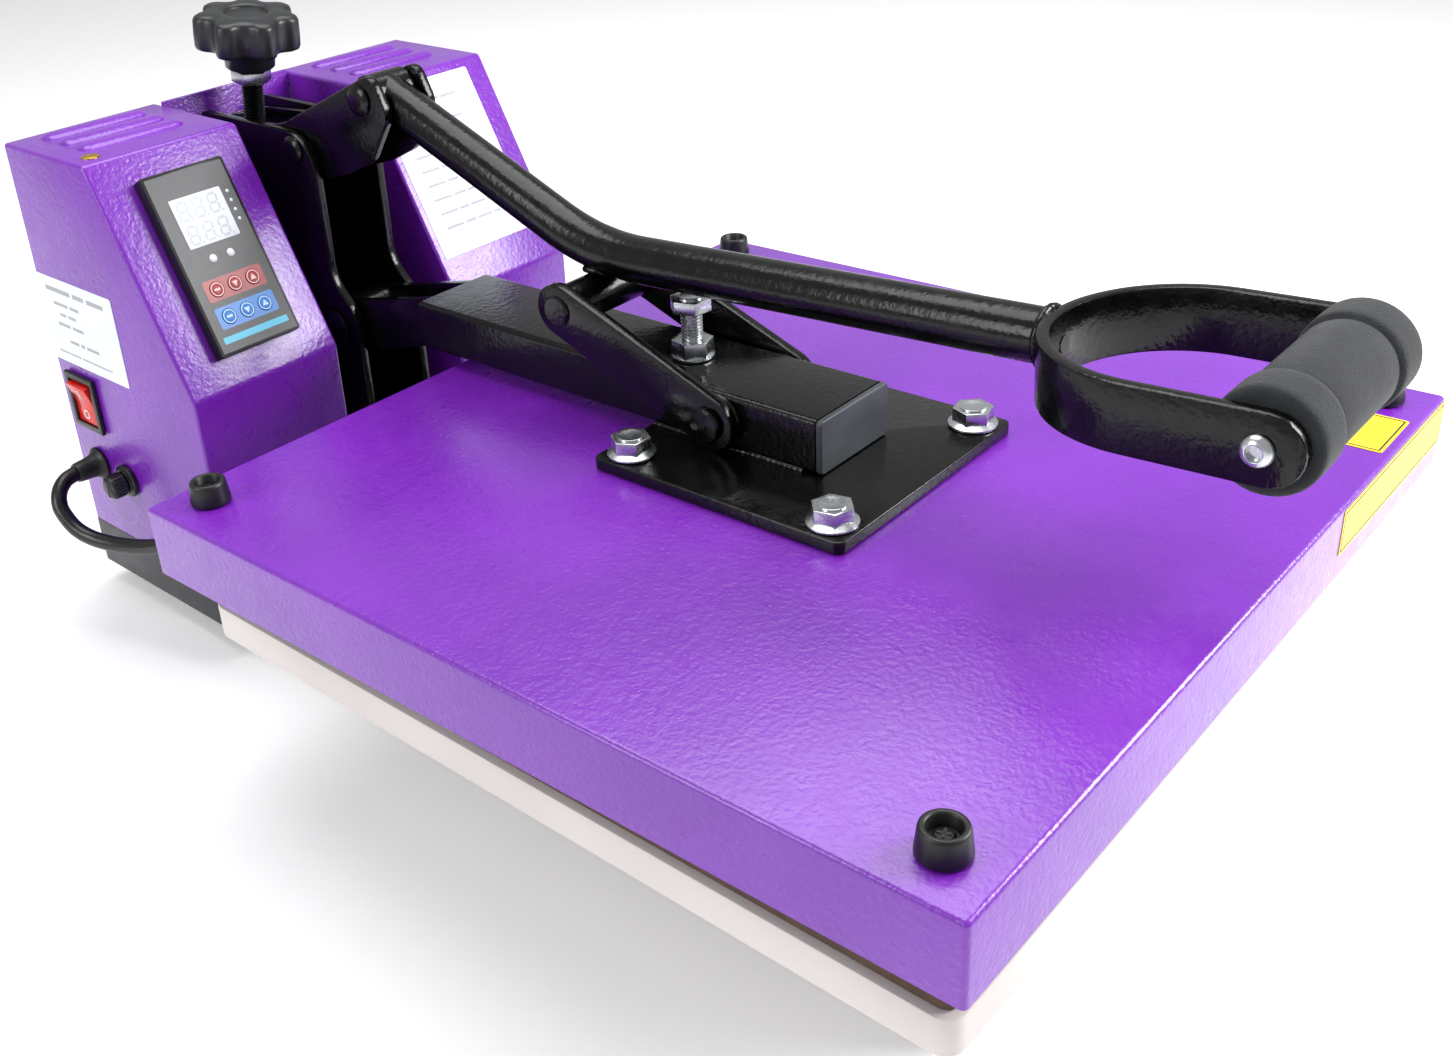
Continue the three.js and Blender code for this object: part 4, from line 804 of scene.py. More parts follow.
# %% Handle tube
TUBE_R = 11.0
PIVOT = Vector((0, 260, 279.5))
BEND = Vector((0, 118.2, 223.1))
LOOP_R, LOOP_T, LOOP_H = 51.0, 5.0, 26.0
LOOP_Y, LOOP_END_Y = -165.0, -226.0
RISE = 3.47
front_y = LOOP_Y + LOOP_R
FRONT = Vector((0, front_y, BEND.z + (BEND.y - front_y) * math.tan(math.radians(RISE))))
BEND_TANGENT = 28.0

to_back = (PIVOT - BEND).normalized()
to_front = (FRONT - BEND).normalized()
bend_points = []
for step in range(13):
    t = step / 12
    start, stop = BEND + to_back * BEND_TANGENT, BEND + to_front * BEND_TANGENT
    bend_points.append(start * (1 - t) ** 2 + BEND * 2 * t * (1 - t) + stop * t ** 2)
straight = lambda a, b, n: [a.lerp(b, i / n) for i in range(n)]
handle_path = straight(PIVOT, bend_points[0], 8) + bend_points + straight(bend_points[-1], FRONT, 10)[1:]
handle_path.append(FRONT)

EYE_HALF = 11.4
CROSS_R, CROSS_HALF = 10.0, 26.2
eye = turned([(8.2, -EYE_HALF), (10.4, -EYE_HALF), (11, -EYE_HALF + 0.6), (11, EYE_HALF - 0.6),
              (10.4, EYE_HALF), (8.2, EYE_HALF), (8.2, -EYE_HALF)])
cross = turned([(0, -CROSS_HALF), (CROSS_R - 0.6, -CROSS_HALF), (CROSS_R, -CROSS_HALF + 0.6),
                (CROSS_R, CROSS_HALF - 0.6), (CROSS_R - 0.6, CROSS_HALF), (0, CROSS_HALF)])


def saddle_seam(y_reach, x_reach, low, high):
    """The closed line where the handle's tube meets the cross tube under it."""
    points = []
    for step in range(25):
        angle = 2 * math.pi * step / 24
        lift = (high - low) * abs(math.sin(angle))
        points.append(Vector((x_reach * math.sin(angle), link_top.y + y_reach * math.cos(angle), low + lift)))
    return points


handle_parts = [
    (tube(handle_path, TUBE_R, 48), HERE),
    (eye, Matrix.Translation(PIVOT) @ across),
    (cross, Matrix.Translation(link_top) @ across),
    (weld_bead(saddle_seam(7.5, 8.0, link_top.z + 8.2, link_top.z + 12.5), 1.9), HERE),
]
ring = arc((0, 0, 0), TUBE_R + 0.4, 0, 360, 40, "xy")
around = Matrix.Translation(FRONT - to_front * 1.2) @ to_front.to_track_quat("Z", "X").to_matrix().to_4x4()
handle_parts.append((weld_bead([around @ p for p in ring], 1.8), HERE))
eye_seam = [PIVOT - Vector((0, 10.6, 4.3)) + Vector((x, 0, 0)) for x in (-9, 0, 9)]
handle_parts.append((weld_bead(eye_seam, 1.6), HERE))
finish_piece(merged(*handle_parts), "handle_tube_bent", PRESS, BLACK, "handle", ("handle_tube",),
             sharp=38)

# %% [markdown]
# ### Loop
# The loop is flat bar, 26 by 5 mm, bent round like a horseshoe and rounded at its two ends. A small
# rounded section is carried round the bend, and near each end it shortens along a half circle.

# %% Handle loop
LOOP_Z = BEND.z + (BEND.y - LOOP_Y) * math.tan(math.radians(RISE)) - 1.8
LOOP = placed(0, LOOP_Y, LOOP_Z) @ turn(-RISE, "X")
END_Y = LOOP_END_Y - LOOP_Y
GRIP_Y = END_Y + 15.0


def leg(side):
    """The straight part of the loop on one side, from its end to the bend."""
    steps = [0.02, 0.6, 1.8, 3.6, 6, 9, 13, 20, 30, 45, -END_Y]
    return [Vector((side * (LOOP_R - LOOP_T / 2), END_Y + s, 0)) for s in steps]


loop_line = leg(1)[:-1] + arc((0, 0, 0), LOOP_R - LOOP_T / 2, 0, 180, 60, "xy") + leg(-1)[:-1][::-1]


def flat_bar(path, width, height):
    """A rounded flat section carried along a level path, with half-round ends."""
    shape = bmesh.new()
    half, soft = height / 2, 0.9
    rings = []
    for index, point in enumerate(path):
        ahead = path[min(index + 1, len(path) - 1)] - path[max(index - 1, 0)]
        angle = math.atan2(ahead.y, ahead.x)
        gone = min(point.y - END_Y, half) if abs(point.x) > LOOP_R - LOOP_T else half
        tall = max(math.sqrt(max(half ** 2 - (half - gone) ** 2, 0.01)), 1.2)
        u, v = width / 2, tall
        outline = [(-u, -v + soft), (-u + soft * 0.3, -v + soft * 0.3), (-u + soft, -v), (u - soft, -v),
                   (u - soft * 0.3, -v + soft * 0.3), (u, -v + soft), (u, v - soft),
                   (u - soft * 0.3, v - soft * 0.3), (u - soft, v), (-u + soft, v),
                   (-u + soft * 0.3, v - soft * 0.3), (-u, v - soft)]
        square = Matrix.Translation(point) @ Matrix.Rotation(angle - math.pi / 2, 4, "Z")
        verts = [shape.verts.new(square @ Vector((a, 0, b))) for a, b in outline]
        rings.append([shape.edges.new((p, q)) for p, q in zip(verts, verts[1:] + verts[:1])])
        if index in (0, len(path) - 1):
            shape.faces.new(verts)
    for near, far in zip(rings, rings[1:]):
        bmesh.ops.bridge_loops(shape, edges=near + far)
    bmesh.ops.recalc_face_normals(shape, faces=shape.faces[:])
    return shape


finish_piece(flat_bar(loop_line, LOOP_T, LOOP_H), "handle_loop_bar", LOOP, BLACK, "handle", ("handle_loop",),
             sharp=34)
# A thin disc in the near-black rubber colour on the inner face of the loop's bend stands in for a hole:
# painted shade, not a real opening.
hole_at = LOOP @ moved(0, LOOP_R - LOOP_T - 0.15, 0) @ turn(90, "X")
hole = turned([(0, 0), (3.0, 0), (3.4, 0.05), (3.5, 0.3), (0, 0.3)], 32)
finish_piece(hole, "loop_weld_hole_painted_shade", hole_at, RUBBER, "handle", ())

# %% [markdown]
# ### Foam grip
# A foam sleeve fills the loop. Its two end collars are fatter than its middle, with a groove where
# they meet, and the skin is soft, so every edge is well rounded.

# %% Foam grip and its bolt
foam_right = [(19.0, 41), (19.0, 31), (18.9, 28.4), (18.4, 27.1), (17.3, 26.3), (16.9, 25.7), (17.2, 25.1),
              (17.5, 24.0), (17.55, 12)]
foam_end = [(4.3, 45.7), (16.4, 45.7), (18.1, 45.1), (18.9, 43.6)]
foam_half = foam_end + foam_right
foam_profile = foam_half + [(r, -z) for r, z in reversed(foam_half)] + [foam_half[0]]
GRIP = LOOP @ moved(0, GRIP_Y, 0) @ across
foam = finish_piece(turned(foam_profile, 96), "grip_sleeve", GRIP, FOAM, "handle", ("foam_grip",),
                    sharp=70)

bolt_parts = [(turned([(0, -48), (4, -48), (4, 48), (0, 48)], 24), HERE)]
for side in (-1, 1):
    head = turned([(2.7, 0), (5.4, 0), (5.7, 0.4), (5.5, 1.2), (4.7, 2.3), (3.8, 2.9), (3.2, 3.1), (2.9, 3.0),
                   (2.7, 2.6), (2.7, 0)], 48)
    socket = turned([(0, 0.4), (3.1, 0.4), (3.1, 0.9), (0, 0.9)], 6)
    mark = moved(0, 0, side * (LOOP_R + CLEARANCE)) @ (HERE if side > 0 else turn(180, "X"))
    bolt_parts += [(head, mark), (socket, mark)]
finish_piece(merged(*bolt_parts), "grip_bolt_button_heads", GRIP, ZINC, "handle", ("grip_bolt",))

# %% [markdown]
# ## Tower
# Two upright plates, a back web and the anvil that the pressure screw stands on make the tower. The
# plates' top front corners are generously rounded, and the hinge and bracket pins cross between them.

# %% Tower plates
TOWER_IN, TOWER_T, TOWER_REAR, TOWER_TOP = 18.0, 5.0, 398.0, 256.5
TOWER_OUTLINE = [(TOWER_REAR, BOX_BOTTOM), (TOWER_REAR, TOWER_TOP), (HINGE_Y - 1, TOWER_TOP),
                 (HINGE_Y - 1, HINGE_Z + 28), (282, HINGE_Z + 11), (282, BOX_BOTTOM)]
TOWER_ROUNDS = {1: 4.0, 2: 21.0, 3: 8.0, 4: 8.0}
tower_parts = []
for x in (-TOWER_IN - TOWER_T, TOWER_IN):
    tower_parts.append((plate(TOWER_OUTLINE, x, x + TOWER_T, 0.8, TOWER_ROUNDS), SIDEWAYS))
tower_parts += [
    (slab((-19, TOWER_REAR - 5, BOX_BOTTOM), (19, TOWER_REAR, TOWER_TOP - 6), 0.5), HERE),
    (slab((-40.3, 282, BOX_BOTTOM), (40.3, TOWER_REAR, BOX_BOTTOM + 5), 0.5), HERE),
    (slab((-19, SCREW_Y - 4, SCREW_Z - 84), (19, TOWER_REAR - 1, SCREW_Z - 74), 0.6), HERE),
]
finish_piece(merged(*tower_parts), "tower_weldment", PRESS, BLACK, "base", ("tower",),
             sharp=38)


def cross_pin(name, y, z, radius, head_radius, reach, material, body, node, head=3.0):
    """A round pin along x with a domed head on each end."""
    half = [(0, reach + head), (head_radius * 0.55, reach + head), (head_radius * 0.85, reach + head * 0.75),
            (head_radius, reach + head * 0.35), (head_radius, reach), (radius, reach)]
    shape = turned([(r, -z) for r, z in half] + half[::-1], 48)
    return finish_piece(shape, name, placed(0, y, z) @ across, material, body, (node,))


cross_pin("hinge_shaft", HINGE_Y, HINGE_Z, 8.0, 11.0, 23.3, BLACK_OXIDE, "base", "arm_hinge_shaft",
          4.0)
cross_pin("bracket_pivot_pin", 313.8, 247.3, 5.0, 7.5, 23.3, BLACK, "base", "bracket_pin")
cross_pin("handle_pivot_pin", PIVOT.y, PIVOT.z, 5.0, 8.0, 17.3, BLACK, "pressure_bracket", "handle_pin")

# %% [markdown]
# ## Pressure bracket
# The handle's pivot isn't fixed to the tower but to this bracket, a pair of ears that rocks on its
# own pin. The knob's screw lifts the bracket's tail, which lowers its nose and so presses harder.

# %% Pressure bracket
EAR_OUTLINE = [(258, 247.5), (240, 273), (250.5, 293.8), (334, 255.5), (390, 252), (390, 232), (302, 230.5),
               (278, 238)]
bracket_parts = [(plate(EAR_OUTLINE, x, x + 5.0, 0.8, {1: 6.0, 2: 7.0, 3: 10.0, 0: 4.0}), SIDEWAYS)
                 for x in (-17.0, 12.0)]
LEAN = moved(0, SCREW_Y, SCREW_Z) @ turn(SCREW_LEAN, "X")
bracket_parts += [
    (slab((-13, -16, -40), (13, 8, -33), 0.6), LEAN),
    (turned([(7.3, -46), (9.4, -46), (10, -45.4), (10, -39), (7.3, -39), (7.3, -46)], 48), LEAN),
]
finish_piece(merged(*bracket_parts), "pressure_bracket_ears", PRESS, BLACK, "pressure_bracket",
             ("pressure_bracket",), sharp=38)

# %% [markdown]
# ## Knob and screw
# The knob is moulded nylon with seven lobes and a dished top. Its outline starts as a circle whose
# points are moved in and out, then each ring of the moulding is bridged to the next.

# %% Knob, nut and screw
KNOB_R, LOBES, HUB_TOP, KNOB_TOP = 29.0, 7, 11.0, 31.0


def lobed_ring(shape, inset, z, round_share=0.0):
    """A ring with seven lobes, drawn in by inset and blended towards a circle by round_share."""
    made = bmesh.ops.create_circle(shape, cap_ends=False, segments=LOBES * 24, radius=1.0,
                                   matrix=moved(0, 0, z))
    for vert in made["verts"]:
        wave = math.cos(math.atan2(vert.co.y, vert.co.x) * LOBES)
        lobe = 2.9 * math.copysign(abs(wave) ** 0.75, wave) * (1 - round_share)
        vert.co.xy = vert.co.xy.normalized() * (KNOB_R - 3.1 + lobe - inset)
    edges = {e for v in made["verts"] for e in v.link_edges if len(e.link_faces) == 0}
    return list(edges)


def lofted(rings):
    """Joins rings given as a function of the shape, one to the next, and closes both ends."""
    shape = bmesh.new()
    loops = [ring_of(shape) for ring_of in rings]
    for near, far in zip(loops, loops[1:]):
        bmesh.ops.bridge_loops(shape, edges=near + far)
    for end in (loops[0], loops[-1]):
        bmesh.ops.contextual_create(shape, geom=end)
    bmesh.ops.recalc_face_normals(shape, faces=shape.faces[:])
    return shape


KNOB_RINGS = [
    (13.5, HUB_TOP, 0.6), (6.0, HUB_TOP, 0.25), (2.4, HUB_TOP + 0.2, 0.05), (0.8, HUB_TOP + 1.0, 0),
    (0.1, HUB_TOP + 2.6, 0), (0.0, HUB_TOP + 9, 0), (0.3, KNOB_TOP - 3.6, 0), (1.2, KNOB_TOP - 1.9, 0),
    (3.0, KNOB_TOP - 0.8, 0.1), (6.5, KNOB_TOP - 0.2, 0.35), (10.5, KNOB_TOP, 0.8),
    (13.2, KNOB_TOP - 0.1, 1), (14.3, KNOB_TOP - 0.9, 1), (14.9, KNOB_TOP - 1.9, 1),
    (19.5, KNOB_TOP - 2.0, 1),
]
knob_lobes = lofted([lambda shape, r=r: lobed_ring(shape, *r) for r in KNOB_RINGS])
hub = turned([(6.4, 0), (12.6, 0), (13.5, 0.8), (14.0, HUB_TOP - 1.5), (15.2, HUB_TOP + 0.3),
              (6.4, HUB_TOP + 0.3), (6.4, 0)], 64)
finish_piece(merged(knob_lobes, hub), "knob_moulding", SCREW, KNOB_BLACK, "pressure_knob",
             ("pressure_knob",), sharp=50)
NUT_FLATS = 19.0
nut_face = turned([(0, -8), (8.8, -8), (8.8, -7.4), (0, -7.4)])
knob_nut = merged(hexagon(NUT_FLATS, -7.9, -0.9, 1.1), nut_face)
finish_piece(knob_nut, "knob_lock_nut", SCREW, ZINC, "pressure_knob", ("knob_nut",), sharp=28)
screw_core = turned([(0, -73), (2.4, -73), (5.0, -68.5), (5.0, 3), (0, 3)], 32)
screw_parts = [thread(6.0, 1.75, -66, -8), screw_core]
finish_piece(merged(*screw_parts), "pressure_screw_threaded", SCREW, BLACK_OXIDE, "pressure_knob",
             ("pressure_screw",), sharp=28)

# %% [markdown]
# ## Rear boxes
# Each box is folded from 2 mm sheet: an upright back and sides, a front that stands up and then
# leans back, and a flat top with three pressed louvres. The outline of its side is drawn once and
# made as deep as the box is wide, its folds are rounded, and then it is opened underneath. The left
# box's rear wall is open from the mains inlet down to its lower edge, and wider towards the bottom,
# because an inset leaves the edges of an open side where they are.

# %% Box shells with louvres
BOX_OUTLINE = [(BOX_FRONT, BOX_BOTTOM), (BOX_REAR, BOX_BOTTOM), (BOX_REAR, BOX_TOP), (BOX_FOLD, BOX_TOP),
               (BOX_FRONT, SLOPE_BOTTOM)]
LOUVRES = (397.0, 379.5, 362.0)
PANEL_HALF = 42.0
INLET_HOLE = (-BOX_MID, 84.0, 25.0, 17.0)


def folded_box(x0, x1, rear_hole=None):
    """A sheet-metal box, closed except underneath. rear_hole is its middle's x and z, width and height."""
    shape = plate(BOX_OUTLINE, x0, x1, 0)
    shape.transform(SIDEWAYS)
    shape.normal_update()
    under_faces = [f for f in shape.faces if f.normal.z < -0.9]
    bmesh.ops.delete(shape, geom=under_faces, context="FACES")
    edges = [e for e in shape.edges if len(e.link_faces) == 2]
    rounded(shape, edges, 1.8, 4)
    bmesh.ops.recalc_face_normals(shape, faces=shape.faces[:])
    if rear_hole:
        x, z, width, height = rear_hole
        rear = max(shape.faces, key=lambda f: f.calc_area() * f.normal.y)
        middle = rear.calc_center_median()
        bmesh.ops.inset_region(shape, faces=[rear], thickness=10.0, depth=0.0, use_even_offset=True)
        for vert in rear.verts:
            vert.co.x = x + math.copysign(width / 2, vert.co.x - middle.x)
            vert.co.z = z + math.copysign(height / 2, vert.co.z - middle.z)
        bmesh.ops.delete(shape, geom=[rear], context="FACES")
    bmesh.ops.solidify(shape, geom=shape.faces[:], thickness=2.0)
    return shape


def louvre(length, width, height):
    """A long pressed bulge with round ends."""
    shape = bmesh.new()
    bmesh.ops.create_uvsphere(shape, u_segments=32, v_segments=16, radius=1.0)
    shape.transform(turn(90, "Y"))
    for sign in (-1, 1):
        side_verts = [v for v in shape.verts if v.co.x * sign > 1e-4]
        bmesh.ops.translate(shape, verts=side_verts, vec=(sign * (length / width - 1), 0, 0))
    shape.transform(Matrix.Diagonal((width / 2, width / 2, height, 1)))
    return shape


for name, side in (("control_box", -1), ("right_box", 1)):
    x0, x1 = sorted((side * BOX_IN, side * BOX_OUT))
    parts = [(folded_box(x0, x1, INLET_HOLE if side < 0 else None), HERE)]
    for y in LOUVRES:
        parts.append((louvre(62, 14, 4.2), moved(side * BOX_MID, y, BOX_TOP - 1.7)))
    finish_piece(merged(*parts), f"{name}_folded_sheet", PRESS, PURPLE, "base", (name,),
                 sharp=50)

panel = slab((-PANEL_HALF, BOX_REAR - 8, BOX_BOTTOM), (PANEL_HALF, BOX_REAR - 6, BOX_TOP + 1.5), 0.5)
finish_piece(panel, "rear_panel_sheet", PRESS, PURPLE, "base", ("rear_panel",))
top_screw = turned([(0, 0), (4.6, 0), (4.5, 0.6), (3.4, 1.1), (0, 1.3)], 32)
finish_piece(top_screw, "box_top_screw", placed(-120.7, 345.3, BOX_TOP), BRASS, "base", ())

# %% [markdown]
# ### Blank labels
# Makers stick a rating plate on the side of one box and a chart on the slope of the other. Here they
# are blank vinyl with grey bars where the lines of print would be. The white vinyl is coloured a
# bluish grey, which is painted shade.

# %% Labels on the boxes
def label(name, place, width, height, bars, sheet_material=WHITE_LABEL_PAINTED_SHADE, print_material=GREY_PRINT):
    """A thin vinyl label centred on its place, with bars given as (x, y, width, height)."""
    sheet_shape = slab((-width / 2, -height / 2, 0.02), (width / 2, height / 2, 0.3), 0.06, 1, upright=1.5)
    parts = [sheet_shape]
    for x, y, w, h in bars:
        bar = slab((x - w / 2, y - h / 2, 0.25), (x + w / 2, y + h / 2, 0.36), 0)
        second_material(bar)
        parts.append(bar)
    return finish_piece(merged(*parts), name, place, sheet_material, "base", (),
                        extra=(print_material,))


def border(width, height, inset, line, y=0):
    """Four thin bars just inside a rectangle."""
    w, h = width - 2 * inset, height - 2 * inset
    return [(0, y + h / 2, w, line), (0, y - h / 2, w, line), (-w / 2, y, line, h), (w / 2, y, line, h)]


def print_line(x, y, height, *words):
    """Bars where the words of a line of print would be, from x, y to the right."""
    bars = []
    for word in words:
        bars.append((x + word / 2, y, word, height))
        x += word + height * 1.1
    return bars


SIDE_TURN = turn(-90, "Y")
RATING_PLACE = placed(-BOX_OUT, 372.7, 168.8) @ turn(-90, "Z") @ turn(90, "X")
side_bars = (print_line(-29, 18, 2.6, 24, 11, 16) + print_line(-24, 10, 1.8, 14, 9)
             + print_line(-20, 4, 1.8, 6, 8) + print_line(-24, -2, 1.8, 12, 11)
             + print_line(-16, -11, 1.8, 9, 4, 12) + print_line(-30, -19, 1.0, 22, 30))
label("rating_label", RATING_PLACE, 74, 50, side_bars)
chart_bars = border(46, 9, 0, 0.5, y=38) + print_line(-18, 38, 1.8, 14, 9, 11)
for row in range(8):
    chart_bars += print_line(-26, 25 - 8.5 * row, 1.6, 13, 7 + row % 3, 11, 8 - row % 4)
label("chart_label", RIGHT_SLOPE @ moved(-4.9, 7.5, 0), 71, 101, chart_bars)

# %% [markdown]
# ## Controller
# A panel instrument of the standard 48 by 96 mm size stands 8 mm proud of the slope. Its front is a
# printed film on a black case: a pale window with two rows of seven-segment digits, two small
# lamps, a column of four dots, and two coloured strips of round keys.

# %% Controller case, film and window
CASE_W, CASE_L, CASE_H = 48.0, 96.0, 8.0
KEY_PITCH, KEY_HOLE_R = 10.8, 4.15
KEY_ROW_Y = {"set": -15.0, "timer": -29.5}
KEY_HOLES = {row: [(column * KEY_PITCH, y, KEY_HOLE_R) for column in (-1, 0, 1)]
             for row, y in KEY_ROW_Y.items()}
ALL_KEY_HOLES = KEY_HOLES["set"] + KEY_HOLES["timer"]
CASE_STEP = 6.2


def face_plate(width, length, low, high, bevel, round_corner, holes):
    """A rectangular plate centred on the case, with round corners and key holes."""
    x, y = width / 2, length / 2
    corners = [(-x, -y), (x, -y), (x, y), (-x, y)]
    return plate(corners, low, high, bevel, dict.fromkeys(range(4), round_corner), 4, holes)


case_top = face_plate(CASE_W, CASE_L, CASE_STEP, CASE_H - 0.15, 0.3, 1.4, ALL_KEY_HOLES)
case = slab((-CASE_W / 2, -CASE_L / 2, 0.3), (CASE_W / 2, CASE_L / 2, CASE_STEP), 0.3, 2, upright=1.2)
body_block = slab((-CASE_W / 2 + 1.5, -CASE_L / 2 + 2, -70), (CASE_W / 2 - 1.5, CASE_L / 2 - 2, 1), 0.5)
finish_piece(merged(case_top, case, body_block), "controller_case", LEFT_SLOPE, CASE_BLACK, "base",
             ("controller_housing",))
FILM_Z = CASE_H - 0.17
film = face_plate(44.8, 92.8, FILM_Z, FILM_Z + 0.18, 0, 0.8, ALL_KEY_HOLES)
finish_piece(film, "controller_film", LEFT_SLOPE, FACE_GREY, "base", ())

WINDOW_X, WINDOW_Y, WINDOW_W, WINDOW_L = 0.0, 20.5, 30.0, 26.0
window_at = LEFT_SLOPE @ moved(WINDOW_X, WINDOW_Y, FILM_Z + 0.18)
window_shape = slab((-WINDOW_W / 2, -WINDOW_L / 2, -0.1), (WINDOW_W / 2, WINDOW_L / 2, 0.35), 0.12, 2,
                    upright=0.8)
finish_piece(window_shape, "display_window_lens", window_at, WINDOW, "base", ("display_window",))

SEGMENT_T = 1.35


def segment(length, x, y, upright):
    """One pointed bar of a digit."""
    half, point = length / 2, SEGMENT_T / 2
    outline = [(-half, 0), (-half + point, -point), (half - point, -point), (half, 0), (half - point, point),
               (-half + point, point)]
    return plate(outline, 0, 0.1, 0), moved(x, y, 0) @ (turn(90, "Z") if upright else HERE)


def digit(x, y, width, height):
    """All seven bars of a digit, with a slight slant, and its point."""
    w, h = width / 2, height / 2
    parts = [segment(width - 0.6, 0, level * h, False) for level in (-1, 0, 1)]
    parts += [segment(h - 0.5, side * w, level * h / 2, True) for side in (-1, 1) for level in (-1, 1)]
    parts.append((turned([(0, 0), (0.6, 0), (0.6, 0.1), (0, 0.1)], 16), moved(w + 1.5, -h, 0)))
    slant = Matrix(((1, 0.1, 0, 0), (0, 1, 0, 0), (0, 0, 1, 0), (0, 0, 0, 1)))
    return [(shape, moved(x, y, 0) @ slant @ matrix) for shape, matrix in parts]


digits = []
for row_y, tall in ((6.0, 9.4), (-6.6, 9.0)):
    for column in (-1, 0, 1):
        digits += digit(column * 8.9 - 0.6, row_y, 5.0, tall)
finish_piece(merged(*digits), "display_digits", window_at @ moved(0, 0, 0.33), DIGIT, "base", ())

# %% [markdown]
# ### Lamps, key strips and keys
# The six keys are the moving buttons of the solid model. Each is a disc with a printed ring, and the
# second and third of each row carry the usual down and up arrows.

# %% Lamps, strips and keys
lamp = lambda: turned([(0, 0), (2.1, 0), (2.1, 0.3), (1.6, 0.7), (0, 0.9)], 32)
FILM_TOP = FILM_Z + 0.18
lamps = [(lamp(), moved(x, y, FILM_TOP)) for x, y in ((-5.2, 0.2), (5.2, 0.2))]
dots = [(lamp(), moved(18.4, 30 - 5 * i, FILM_TOP) @ Matrix.Scale(0.42, 4)) for i in range(4)]
finish_piece(merged(*lamps, *dots), "controller_lamps", LEFT_SLOPE, WINDOW, "base", ())
stripe = slab((-19.5, -42.2, FILM_TOP), (19.5, -38.8, FILM_TOP + 0.12), 0.04, 1)
finish_piece(stripe, "controller_stripe", LEFT_SLOPE, CYAN_FILM, "base", ())

KEY_ROWS = (("set", RED_FILM, KEY_MARK, "red_plastic"), ("timer", BLUE_FILM, BLUE_MARK, "blue_plastic"))


def key(direction):
    """A round membrane key with a printed ring and, for -1 or 1, an arrow."""
    disc = turned([(0, -0.9), (3.9, -0.9), (3.9, 0.15), (3.6, 0.34), (0, 0.4)], 40)
    ring_print = turned([(3.0, 0.33), (3.55, 0.33), (3.55, 0.46), (3.0, 0.46), (3.0, 0.33)], 40)
    if direction:
        outline = [(-1.75, -1.25 * direction), (1.75, -1.25 * direction), (0, 1.75 * direction)]
        mark = plate(outline if direction > 0 else outline[::-1], 0.33, 0.47, 0)
    else:
        mark = slab((-1.7, -0.55, 0.33), (1.7, 0.55, 0.47), 0)
    second_material(ring_print, mark)
    return merged(disc, ring_print, mark)


for row, film_colour, mark_colour, slot in KEY_ROWS:
    y = KEY_ROW_Y[row]
    strip_outline = [(-17.5, y - 5.6), (17.5, y - 5.6), (17.5, y + 5.6), (-17.5, y + 5.6)]
    strip = plate(strip_outline, FILM_TOP, FILM_TOP + 0.1, 0, dict.fromkeys(range(4), 1.5), 4, KEY_HOLES[row])
    finish_piece(strip, f"key_strip_{row}", LEFT_SLOPE, film_colour, "base", ())
    for index, direction in enumerate((0, -1, 1)):
        spot = LEFT_SLOPE @ moved((index - 1) * KEY_PITCH, y, FILM_TOP + 0.1)
        node = f"button_{row}_{index + 1}"
        finish_piece(key(direction), f"key_{row}_{index + 1}", spot, film_colour, node, (node,),
                     extra=(mark_colour,))

# %% [markdown]
# ## Fittings on the left side
# The power switch is a red rocker in a black bezel, with a bar and a ring moulded on its two ends.
# Below it are the fuse holder, with its slotted cap, and the bell-mouthed gland of the heater cable.

# %% Power switch
SWITCH_Y, SWITCH_Z = 387.0, 122.3
SIDE_X = -BOX_OUT - CLEARANCE
bezel_frame = slab((SIDE_X - 2.5, SWITCH_Y - 14, SWITCH_Z - 16.3),
                   (SIDE_X, SWITCH_Y + 14, SWITCH_Z + 16.3), 0)
outer_face = [f for f in bezel_frame.faces if f.normal.x < -0.9]
bmesh.ops.inset_region(bezel_frame, faces=outer_face, thickness=3.4, depth=0.0, use_even_offset=True)
outer_face = [f for f in bezel_frame.faces if f.normal.x < -0.9 and f.calc_area() > 400]
bmesh.ops.inset_region(bezel_frame, faces=outer_face, thickness=0.1, depth=-2.2, use_even_offset=True)
ease(bezel_frame, 0.5, 3, 40)
switch_body = slab((SIDE_X - 0.2, SWITCH_Y - 12, SWITCH_Z - 15),
                   (SIDE_X + 24, SWITCH_Y + 12, SWITCH_Z + 15), 0.4)
finish_piece(merged(bezel_frame, switch_body), "switch_bezel_moulding", PRESS, CASE_BLACK,
             "base", ("switch_bezel",))

ROCKER_LEAN = -9
ROCKER_OUTLINE = [(-2, -11.4), (2.2, -12), (5.4, -12), (3.3, 0), (5.4, 12), (2.2, 12), (-2, 11.4)]
rocker = plate(ROCKER_OUTLINE, -9.3, 9.3, 0.5, {3: 5.0})
ROCK = placed(SIDE_X + 2, SWITCH_Y, SWITCH_Z) @ turn(ROCKER_LEAN, "Y")
TO_ROCKER = Matrix(((-1, 0, 0, 0), (0, 0, 1, 0), (0, 1, 0, 0), (0, 0, 0, 1)))
off_mark = turned([(2.0, 0), (2.7, 0), (2.7, 0.5), (2.0, 0.5), (2.0, 0)], 32)
on_mark = slab((-2.6, -0.45, 0), (2.6, 0.45, 0.5), 0.08, 1)
second_material(off_mark, on_mark)
rocker_parts = [(rocker, TO_ROCKER),
                (off_mark, moved(-4.3, 0, -6.6) @ turn(-80, "Y")),
                (on_mark, moved(-4.3, 0, 6.6) @ turn(-100, "Y"))]
finish_piece(merged(*rocker_parts), "rocker_red", ROCK, RED_LENS, "switch_rocker", ("switch_rocker",),
             extra=(SWITCH_MARK,))
